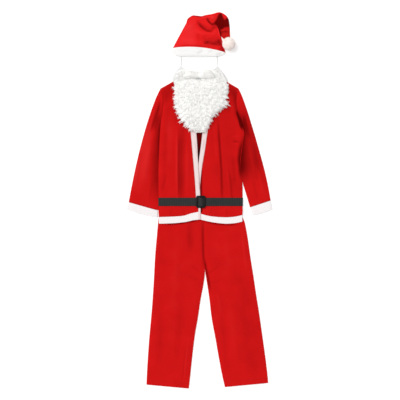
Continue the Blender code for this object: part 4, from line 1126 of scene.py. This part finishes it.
# Where the cloth bulges past the solid's outline: place, the way it moves and how far around it.
OUTLINE_MOVES = (
    ((-62, 980), (-5, 2), 28), ((-38, 1000), (0, 5), 28), ((108, 1014), (0, 5), 42),
    ((12, 1002), (0, -4), 26))

# By y: the x of the line along which the tip lies over the cone, from the fold down to the pompom,
# and how far the tip's cloth reaches past the line.
TIP_LINE = ((944, 100), (908, 116), (880, 132), (850, 147))
TIP_OVERLAP = ((946, 4), (936, 9), (925, 11), (900, 14), (886, 13), (874, 6), (858, 7), (845, 7))
TIP_SPAN = (835, 946)
TIP_REACH = 24.0
TIP_FADE = 9.0
TIP_LIFT = 3.6
TIP_LIFT_FROM = 858.0
TIP_LIFT_FADE = 20.0


def fold_tip_over(thing):
    """Draw the near side of the tip over the edge of the cone and lift it to lie on top."""
    points = read_points(thing)
    y = points[:, 1]
    past = points[:, 0] - at_height(y, TIP_LINE)
    on_tip = (past > 0) & (y > TIP_SPAN[0]) & (y < TIP_SPAN[1])
    share = (1 - ease(past / TIP_REACH)) * on_tip * ease((TIP_SPAN[1] + 4 - y) / TIP_FADE)
    points[:, 0] -= at_height(y, TIP_OVERLAP) * share
    points[:, 2] += TIP_LIFT * share * ease((y - TIP_LIFT_FROM) / TIP_LIFT_FADE)
    write_points(thing, points)


def move_outline(thing, moves):
    """Move the cloth near each given place."""
    points = read_points(thing)
    for place, way, around in moves:
        points[:, :2] += np.outer(1 - ease(np.hypot(*(points[:, :2] - place).T) / around), way)
    write_points(thing, points)


crown = make_cloth("hat_crown", CROWN_CREASES, 101, angle=80, rough=0.6, areas=TIP_SHADE)
fold_tip_over(crown)
move_outline(crown, OUTLINE_MOVES)
dress(crown, hat_felt, "hat_felt", "hat_crown", cut=(0.588, 0.340, 0.091), held="folded")

# %% [markdown]
# ## The hat's brim
# The brim is a doubled band of the same plush as the trims, wider and thicker, pressed flat into a
# gentle bow. It is soft enough to buckle, so a few shallow creases cross it at a slant.

# %% Hat brim
BRIM_WALL = 3.4
BRIM_NAP = 0.45
# The fourth value of each row is painted shade in the brim's creases.
BRIM_CREASES = (
    (((24, 812), (2, 800), (-16, 790)), 14, -1.8, 0.45, 0.2),
    (((76, 814), (58, 804), (44, 796)), 12, -1.5, 0.34, 0.2),
    (((-30, 822), (-12, 818), (30, 818)), 9, -1, 0.22),
    (((124, 798), (106, 788), (86, 784)), 12, -1.4, 0.42),
    (((-126, 812), (-90, 806), (-50, 804)), 12, -0.8, 0.14),
    (((-142, 802), (-136, 790), (-120, 783), (0, 782), (100, 781)), 5, -0.8, 0.40))
brim = make_cloth("hat_brim", BRIM_CREASES, 111, angle=80, hold=0.5, wall=BRIM_WALL, rough=0.5,
                  kind="plush")
fluff(brim, BRIM_NAP, 113)
dress(brim, hat_plush, "trim_plush", "hat_brim", cut=(0.588, 0.050, 0.0246), on=["hat_crown"])

# %% [markdown]
# ## Stitching
# Seams are sewn by machine with a stitch of about 4 mm. The thread sinks into the cloth and each stitch
# shows as a short bead. One bead is modelled and its copies are laid on the finished cloth along each
# seam: above the hems of the trousers, beside the plush bands, over the cuffs and under the crown. The
# count is real, so at arm's length the lines read as sewing and not as drawn dashes.

# %% One stitch
STITCH_LENGTH = 3.0
STITCH_PITCH = 4.2
STITCH_SIDES = 5
STITCH_END = 0.165
STITCH_STEPS = ((0.22, 2.1), (0.06, 1.08), (-0.06, 0.93), (-0.22, 0.476))


def draw_out(sides, radius, steps):
    """Model a rod along X from a flat ring: a step is the way it moves, in mm, and how it grows."""
    bpy.ops.mesh.primitive_circle_add(vertices=sides, radius=radius * MM, fill_type="NGON",
                                      rotation=(0, math.radians(90), 0))
    rod = bpy.context.object
    bpy.ops.object.transform_apply(location=True, rotation=True, scale=True)
    bpy.ops.object.mode_set(mode="EDIT")
    bpy.ops.mesh.select_all(action="SELECT")
    for way, grow in steps:
        bpy.ops.mesh.extrude_region_move(TRANSFORM_OT_translate={"value": Vector(way) * MM})
        bpy.ops.transform.resize(value=(1, grow, grow))
    bpy.ops.object.mode_set(mode="OBJECT")
    edit_all(rod, bpy.ops.mesh.normals_make_consistent, inside=False)
    points = read_points(rod)
    faces = [tuple(face.vertices) for face in rod.data.polygons]
    bpy.data.objects.remove(rod)
    return points, faces


def join_copies(name, copies, faces):
    """One smooth object made of many placed copies of a small shape."""
    count = len(copies[0])
    mesh = bpy.data.meshes.new(name)
    mesh.from_pydata((np.concatenate(copies) * MM).tolist(), [],
                     [tuple(number * count + k for k in face)
                      for number in range(len(copies)) for face in faces])
    mesh.update()
    thing = add_object(name, mesh)
    only(thing)
    bpy.ops.object.shade_smooth()
    return thing


stitch_points, stitch_faces = draw_out(
    STITCH_SIDES, STITCH_END, [((STITCH_LENGTH / 4, 0, lift), grow) for lift, grow in STITCH_STEPS])
stitch_points -= (STITCH_LENGTH / 2, 0, 0)
print("one stitch:", len(stitch_faces), "faces")

# %% Lay the stitches
THREAD_RED = (0.34, 0.006, 0.008)
THREAD_SHEEN = (1.0, 0.5, 0.5)
THREAD_RISE = 0.12
STEEPEST = 0.6
BAND_GAP = 2.6
BAND_SPAN = (30, 560)


def thread(name, colour):
    material, tree, place = fabric(name, 0.5, 0.1, THREAD_SHEEN, 0.35)
    twist = noise_at(tree, place, 1800, 2.0, 0.6, (1.0, 0.3, 1.0))
    shaded = blend_colours(tree, remap(tree, twist, 0.3, 0.7), tint(colour, 0.7), colour)
    return wire(material, shaded, bump(tree, twist, 0.4, 0.0002))


def walk(route, pitch):
    """Places and headings at even steps along a route."""
    steps = []
    left = pitch / 2
    for (ax, ay), (bx, by) in zip(route, route[1:]):
        length = math.hypot(bx - ax, by - ay)
        while left < length:
            t = left / length
            steps.append((ax + (bx - ax) * t, ay + (by - ay) * t, math.atan2(by - ay, bx - ax)))
            left += pitch
        left -= length
    return steps


def sew(name, rows):
    """One object of all the stitches on a set of seams; a row is a finished piece and its route."""
    copies = []
    for piece, route in rows:
        tree = tree_of(finished[piece])
        for x, y, heading in walk(route, STITCH_PITCH):
            place, normal = drop(tree, x, y)
            if place is None or normal.z < STEEPEST:
                continue
            way = Vector((math.cos(heading), math.sin(heading), 0))
            way = (way - normal * way.dot(normal)).normalized()
            turn = np.array(Matrix((way, normal.cross(way), normal)).transposed())
            copies.append(stitch_points @ turn.T + np.array(place + normal * THREAD_RISE))
    print(name, "has", len(copies), "stitches")
    return join_copies(name, copies, stitch_faces)


def beside(piece, direction, away, low, high, step=20.0):
    """A route that follows one side of a band at a distance, from one height to another."""
    points = read_points(finished[piece])
    return [(furthest(points, direction, y, 9.0) + direction * away, y)
            for y in np.arange(low, high + 1, step)]


SEAMS = (
    ("trouser_front_right_cloth", ((-281, -968), (-170, -977), (-56, -988))),
    ("trouser_front_left_cloth", ((132, -980), (250, -968), (366, -958))),
    ("jacket_front_right_cloth",
     ((-219, -85.5), (-148, -83.5), (-83, -79.5), (-51, -67.5), (-20, -57))),
    ("jacket_front_left_cloth",
     ((16, -70), (41, -78.5), (84, -84.5), (138, -87.5), (187, -85.5), (232, -74))),
    ("sleeve_right_cloth", ((-379, -5), (-300, -27), (-228, -49))),
    ("sleeve_left_cloth", ((276, -33), (330, -17), (382, 4))),
    ("hat_crown_cloth", ((-136, 829), (-60, 836), (0, 834.5), (60, 827), (110, 814), (136, 804))),
    ("jacket_front_right_cloth", beside("front_band_right_plush", -1, BAND_GAP, *BAND_SPAN)),
    ("jacket_front_left_cloth", beside("front_band_left_plush", 1, BAND_GAP, *BAND_SPAN)))
dress(sew("seam_stitches", SEAMS), thread("thread_red", THREAD_RED), None)

# %% [markdown]
# ## The beard
# The beard is curly white fibre sewn in rows onto a soft backing. From a step away it reads as small
# curly clumps with a ragged, spiky outline. Its hair is built in two layers: a lumpy mass that fills
# it, and thousands of short curls that lie on the mass. One tapered curl is modelled, and its copies
# are bent over the mass, so that no two lie alike.

# %% Beard materials
HAIR_WHITE = (0.975, 0.97, 0.95)
LIP_WHITE = (0.935, 0.925, 0.895)
BACKING_WHITE = (0.76, 0.76, 0.745)
ELASTIC_WHITE = (0.64, 0.64, 0.635)


def hair(name, body, roughness=0.72):
    material, tree, place = fabric(name, roughness, 0.15, UNTINTED, 0.20)
    clumps = noise_at(tree, place, 90, 3.0, 0.6)
    strands = noise_at(tree, place, 800, 2.0, 0.6, (1.0, 0.25, 1.0))
    clumped = blend_colours(tree, remap(tree, clumps, 0.3, 0.65), tint(body, 0.95), body)
    # Painted shade on the mesh mixes the hair towards a grey.
    colour = blend_colours(tree, remap(tree, painted_shade_in(tree), 0.0, 1.0), clumped, tint(body, 0.35))
    return wire(material, colour, bump(tree, strands, 0.3, 0.0005))


beard_white = hair("beard_hair_white", HAIR_WHITE)
lip_white = hair("moustache_hair_white", LIP_WHITE)
backing_white = hair("beard_backing_white", BACKING_WHITE, 0.9)
elastic.data.materials.append(webbing("elastic_white", ELASTIC_WHITE, 0.8))

# %% Backing
backing = copy_of("beard_backing", "beard_backing_cloth")
hold_edges(backing, 60, 0.9)
refine(backing, 3)
fluff(backing, 0.30, 201, 0.1)
dress(backing, backing_white, "beard_backing_cloth", "beard_backing", cut=(0.300, 0.352, 0.0736),
      on=["jacket_front_right", "jacket_front_left"])

# %% Hair mass
MASS_LUMP = 15.0
MASS_GRAIN = 7.0


def make_mass(node, name, seed, nap_and_painted_shade, inset):
    """The filling of the hair: a soft lumpy body, drawn in a little so that curls make its outline."""
    thing = copy_of(node, name)
    refine(thing, 2)
    points = read_points(thing)
    outward = read_normals(thing)[:, :2]
    points[:, :2] -= outward * (inset * np.hypot(*outward.T))[:, None]
    write_points(thing, points)
    rise = lumps(points, MASS_LUMP, nap_and_painted_shade * 1.6, seed) + lumps(points, MASS_GRAIN, nap_and_painted_shade, seed + 3)
    normals = read_normals(thing)
    write_points(thing, points + normals * (rise * ease(normals[:, 2] * 2))[:, None])
    return thing


mass = make_mass("beard_pile", "beard_hair_mass", 211, 0.4, inset=8.0)
dress(mass, beard_white, "beard_hair", "beard_pile")
lip = make_mass("moustache", "moustache_hair_mass", 221, 0.45, inset=1.0)
dress(lip, lip_white, "beard_hair", "moustache")

# %% One curl
CURL_SIDES = 4
CURL_LENGTH = 20.0
CURL_THICK = 2.1
CURL_SWING = 2.1
CURL_LIFT = 1.2
CURL_GROWTH = (1.25, 0.93, 0.93, 0.62, 0.62)
CURL_FLATTEN = 0.5
CURL_PHASES = [2 * math.pi * 0.42 * (k + 0.3) for k in range(len(CURL_GROWTH))]
CURL_WAYS = [(CURL_LENGTH / len(CURL_GROWTH), CURL_SWING * math.cos(phase), CURL_LIFT * math.sin(phase))
             for phase in CURL_PHASES]

curl_points, curl_faces = draw_out(CURL_SIDES, CURL_THICK / 2, zip(CURL_WAYS, CURL_GROWTH))
print("one curl:", len(curl_faces), "faces,", round(np.ptp(curl_points[:, 0]), 1), "mm long")

# %% Lay the curls
LOWEST_HAIR = 0.3
CURL_BEND = 0.7


def lay_curls(name, roots, seed):
    """One object of many curls. A root is its place, heading, pitch, length and thickness."""
    dice = random.Random(seed)
    share = curl_points[:, 0] / CURL_LENGTH
    copies = []
    for place, heading, pitch, length, thick in roots:
        along = share * length
        swing = curl_points[:, 1] * thick + 0.5 * dice.uniform(-CURL_BEND, CURL_BEND) * along * share
        lift = curl_points[:, 2] * thick * CURL_FLATTEN
        turn = Matrix.Rotation(heading, 3, "Z") @ Matrix.Rotation(-pitch, 3, "Y")
        curl = np.column_stack((along, swing, lift)) @ np.array(turn).T + np.array(place)
        curl[:, 2] = np.maximum(curl[:, 2], LOWEST_HAIR)
        copies.append(curl)
    thing = join_copies(name, copies, curl_faces)
    edit_all(thing, bpy.ops.mesh.normals_make_consistent, inside=False)
    return thing


# By y: how far the hair reaches to each side, with the notches and spikes of its outline.
HAIR_OUTLINE = (
    (700, -112, 110), (684, -126, 128), (662, -130, 140), (640, -133, 152), (622, -131, 160),
    (604, -138, 152), (590, -130, 158), (576, -134, 150), (562, -143, 158), (548, -132, 148),
    (534, -138, 150), (520, -131, 138), (506, -136, 152), (492, -124, 126), (478, -124, 106),
    (464, -116, 92), (450, -113, 74), (436, -100, 66), (422, -92, 62), (408, -80, 56),
    (394, -62, 50), (380, -50, 44), (368, -30, 38))
HAIR_MIDDLE = 4.0
HAIR_HALF = 150.0
FALL_FROM = 630.0
FALL_REACH = 220.0
FALL_STRAY = 0.42
EDGE_INSET = 15.0
LOCK_PITCH = 9.9
LOCK_STRAY = 2.2
LOCK_LENGTH = (15, 23)
LOCK_THICK = (1.0, 1.5)
LOCK_SLOPES = (-0.9, 0.5)
CURLS_IN_LOCK = 5
CURL_SPACING = 1.9
CURL_STRAY = 2
CURL_LENGTHS = (0.82, 1.1)
CURL_THICKS = (0.85, 1.15)


def hair_heading(x, y, dice):
    """Locks fall outwards near the sides and downwards in the middle."""
    sideways = 1.1 * (x - HAIR_MIDDLE) / HAIR_HALF
    fall = 0.5 + 0.9 * ease((FALL_FROM - y) / FALL_REACH)
    return math.atan2(-fall, sideways) + dice.gauss(0, FALL_STRAY)


def lock_roots(under, x, y, heading, length, thick, dice, lift, count=CURLS_IN_LOCK, follow=1.0,
               sink=0.7):
    """Curls that start side by side on the surface and run together into one pointed lock."""
    roots = []
    way = Vector((math.cos(heading), math.sin(heading)))
    across = Vector((-way.y, way.x))
    for number in range(count):
        offset = (number - (count - 1) / 2) * CURL_SPACING * thick
        px = x + across.x * offset + way.x * dice.uniform(-CURL_STRAY, CURL_STRAY)
        py = y + across.y * offset + way.y * dice.uniform(-CURL_STRAY, CURL_STRAY)
        place, normal = drop(under, px, py)
        if place is None:
            continue
        slope = math.atan2(-normal.xy.dot(way), max(normal.z, 0.25))
        closing = math.atan2(offset, length) * 0.9
        pitch = follow * max(LOCK_SLOPES[0], min(slope, LOCK_SLOPES[1])) + lift + dice.gauss(0, 0.05)
        roots.append(((place.x, place.y, place.z - sink * thick), heading - closing + dice.gauss(0, 0.08),
                      pitch, length * dice.uniform(*CURL_LENGTHS), thick * dice.uniform(*CURL_THICKS)))
    return roots


def beard_roots():
    """Locks in staggered rows, from the top down, so that each row lies over the roots below."""
    dice = random.Random(12)
    under = tree_of(mass)
    roots = []
    y = HAIR_OUTLINE[0][0]
    row = 0
    while y > HAIR_OUTLINE[-1][0] + EDGE_INSET:
        x = at_height(y, HAIR_OUTLINE, 1) + EDGE_INSET + (row % 2) * LOCK_PITCH / 2
        while x < at_height(y, HAIR_OUTLINE, 2) - EDGE_INSET:
            lock = (x + dice.gauss(0, LOCK_STRAY), y + dice.gauss(0, LOCK_STRAY))
            roots += lock_roots(under, *lock, hair_heading(*lock, dice), dice.uniform(*LOCK_LENGTH),
                                dice.uniform(*LOCK_THICK), dice, lift=0.04, sink=0.25)
            x += LOCK_PITCH
        y -= LOCK_PITCH * 0.8
        row += 1
    return roots


# Long locks that break the outline: place of the tip, heading in degrees and length.
EDGE_LOCKS = (
    ((161, 625), 18, 24), ((159, 604), -6, 26), ((155, 580), -14, 22), ((157, 553), -10, 28),
    ((160, 521), 4, 40), ((151, 531), 16, 28), ((146, 503), -20, 38), ((128, 508), -38, 24),
    ((100, 476), -40, 26), ((93, 457), -32, 28), ((73, 448), -52, 22), ((67, 424), -46, 26),
    ((55, 406), -52, 26), ((46, 388), -60, 28), ((25, 371), -72, 28), ((9, 374), -92, 24),
    ((-8, 376), -98, 24), ((-26, 379), -100, 22), ((-42, 382), -112, 24), ((-58, 374), -126, 32),
    ((-70, 390), -132, 22), ((-86, 400), -142, 34), ((-109, 424), 207, 36), ((-114, 442), 218, 24),
    ((-127, 469), 206, 30), ((-125, 486), 198, 20), ((-139, 498), 202, 26), ((-137, 524), 192, 22),
    ((-143, 550), 188, 32), ((-138, 580), 176, 22), ((-145, 607), 172, 28), ((-136, 634), 164, 20))


# Beside each of them stand two shorter ones: the turn from it in degrees and the share of its length.
EDGE_FAN = ((0, 1.0), (-16, 0.7), (14, 0.6))
EDGE_STRETCH = 1.12
EDGE_THICK = 1.75


def edge_roots():
    dice = random.Random(77)
    under = tree_of(mass)
    roots = []
    for (tip_x, tip_y), degrees, length in EDGE_LOCKS:
        x = tip_x - math.cos(math.radians(degrees)) * length
        y = tip_y - math.sin(math.radians(degrees)) * length
        for turn, share in EDGE_FAN:
            heading = math.radians(degrees + turn + dice.gauss(0, 3))
            roots += lock_roots(under, x, y, heading, length * share * EDGE_STRETCH, EDGE_THICK, dice,
                                lift=-0.05, follow=0.25)
    return roots


roots, edge = beard_roots(), edge_roots()
print("curls in the beard:", len(roots), "and round its edge:", len(edge))
beard_curls = lay_curls("beard_curls", roots, 5)
edge_curls = lay_curls("beard_edge_curls", edge, 6)

# %% Shade in the beard
# Painted shade on the hair: in the mouth, where the moustache's two lobes stand over the beard, in a line
# under the moustache, and more lightly over both ears.
HAIR_SHADE = (
    (((-34, 662), (-8, 667), (18, 663), (6, 652), (-8, 649), (-24, 652)), 6, 0, 0.50),
    (((-92, 668), (88, 668), (84, 654), (-88, 652)), 7, 0, 0.12),
    (((-150, 640), (-150, 740), (-80, 740), (-84, 664), (-100, 640)), 12, 0, 0.12),
    (((160, 640), (160, 740), (70, 740), (84, 664), (100, 640)), 12, 0, 0.07))


def shade_hair(table, *pieces):
    for piece in pieces:
        write_painted_shade(piece, summed(read_points(piece), table, area_share)[1])


shade_hair(HAIR_SHADE, beard_curls, mass)
dress(beard_curls, beard_white, "beard_hair", "beard_pile")
dress(edge_curls, beard_white, "beard_hair", "beard_pile")

# %% Moustache
# Painted shade over the moustache's left lobe, which faces the light.
LIP_SHADE = ((((-100, 704), (-2, 704), (-2, 650), (-100, 650)), 10, 0, 0.055),)
LIP_LOCKS = 230
LIP_START = 3
LIP_REACH = 84
LIP_LINE = 676
LIP_SPREAD = (-26, 30)
LIP_MIDDLE = 680
LIP_FAN = 60
LIP_LENGTH = (8, 12)
LIP_THICK = 0.55


def moustache_roots():
    """Two lobes: their locks sweep outwards from the middle, finer and flatter than the beard's."""
    dice = random.Random(31)
    under = tree_of(lip)
    roots = []
    for side in (-1, 1):
        for _ in range(LIP_LOCKS):
            x = side * (LIP_START + LIP_REACH * dice.random())
            y = LIP_LINE + dice.uniform(*LIP_SPREAD)
            place, normal = drop(under, x, y)
            if place is None or normal.z < 0.2:
                continue
            fan = dice.gauss(-0.12, 0.16) + (y - LIP_MIDDLE) / LIP_FAN
            heading = (0 if side > 0 else math.pi) + side * fan
            roots += lock_roots(under, x, y, heading, dice.uniform(*LIP_LENGTH), LIP_THICK, dice,
                                lift=-0.02, count=3)
    return roots


roots = moustache_roots()
print("curls in the moustache:", len(roots))
lip_curls = lay_curls("moustache_curls", roots, 7)
shade_hair(LIP_SHADE, lip_curls, lip)
dress(lip_curls, lip_white, "beard_hair", "moustache")

# %% [markdown]
# ## The pompom
# A hat's pompom is a ball of soft cut pile, with no parting and no curl to see. It is built as a lumpy
# sphere under more than a thousand copies of the beard's curl, each so short that it blurs into the
# next. One smooth sphere with a bumpy material would be lighter, but its outline would be a circle.

# %% Pompom
POMPOM_WHITE = (0.965, 0.865, 0.815)
POMPOM_RADIUS = 34.4
POMPOM_TUFTS = 1500
POMPOM_LEAN = np.array((-3.0, -5.0, 0.0))
POMPOM_LUMPS = ((7.5, 1.1, 231), (3.1, 0.9, 233))
TUFT_ROOT = 2.2
TUFT_STRAY = 0.10
TUFT_LENGTH = (3.2, 4.6)
TUFT_THICK = (0.7, 1.0)

pompom_corners = read_points(frame["nodes"]["hat_pompom"])
pompom_bottom = pompom_corners[:, 2].min()
pompom_middle = (pompom_corners.min(axis=0) + pompom_corners.max(axis=0)) / 2 + POMPOM_LEAN


def make_pompom():
    """A lumpy ball, flattened where it sits on the tip."""
    bpy.ops.mesh.primitive_ico_sphere_add(subdivisions=5, radius=POMPOM_RADIUS * MM)
    ball = bpy.context.object
    ball.name = "pompom_pile"
    ball.data.name = "pompom_pile"
    points = read_points(ball)
    way = points / np.linalg.norm(points, axis=1)[:, None]
    radius = POMPOM_RADIUS + sum(lumps(points, *row) for row in POMPOM_LUMPS)
    points = way * radius[:, None] + pompom_middle
    points[:, 2] = np.maximum(points[:, 2], pompom_bottom)
    write_points(ball, points)
    bpy.ops.object.shade_smooth()
    return ball


def pompom_roots():
    """Tufts spread evenly over the ball by the golden angle, each a little off its place."""
    dice = random.Random(41)
    roots = []
    for number in range(POMPOM_TUFTS):
        z = 1 - 2 * (number + 0.5) / POMPOM_TUFTS
        turn = number * math.pi * (3 - math.sqrt(5))
        flat = math.sqrt(1 - z * z)
        way = Vector((flat * math.cos(turn), flat * math.sin(turn), z))
        way = (way + Vector([dice.gauss(0, TUFT_STRAY) for _ in range(3)])).normalized()
        place = Vector(pompom_middle) + way * (POMPOM_RADIUS - TUFT_ROOT)
        length = dice.uniform(*TUFT_LENGTH)
        if place.z + way.z * length < pompom_bottom + 1.0:
            continue
        roots.append((tuple(place), math.atan2(way.y, way.x), math.asin(max(-1, min(1, way.z))), length,
                      dice.uniform(*TUFT_THICK)))
    return roots


pompom = make_pompom()
pompom_tufts = lay_curls("pompom_tufts", pompom_roots(), 9)
pompom_white = hair("pompom_pile_white", POMPOM_WHITE, 0.9)
for piece in (pompom, pompom_tufts):
    dress(piece, pompom_white, "pompom_yarn", "hat_pompom")
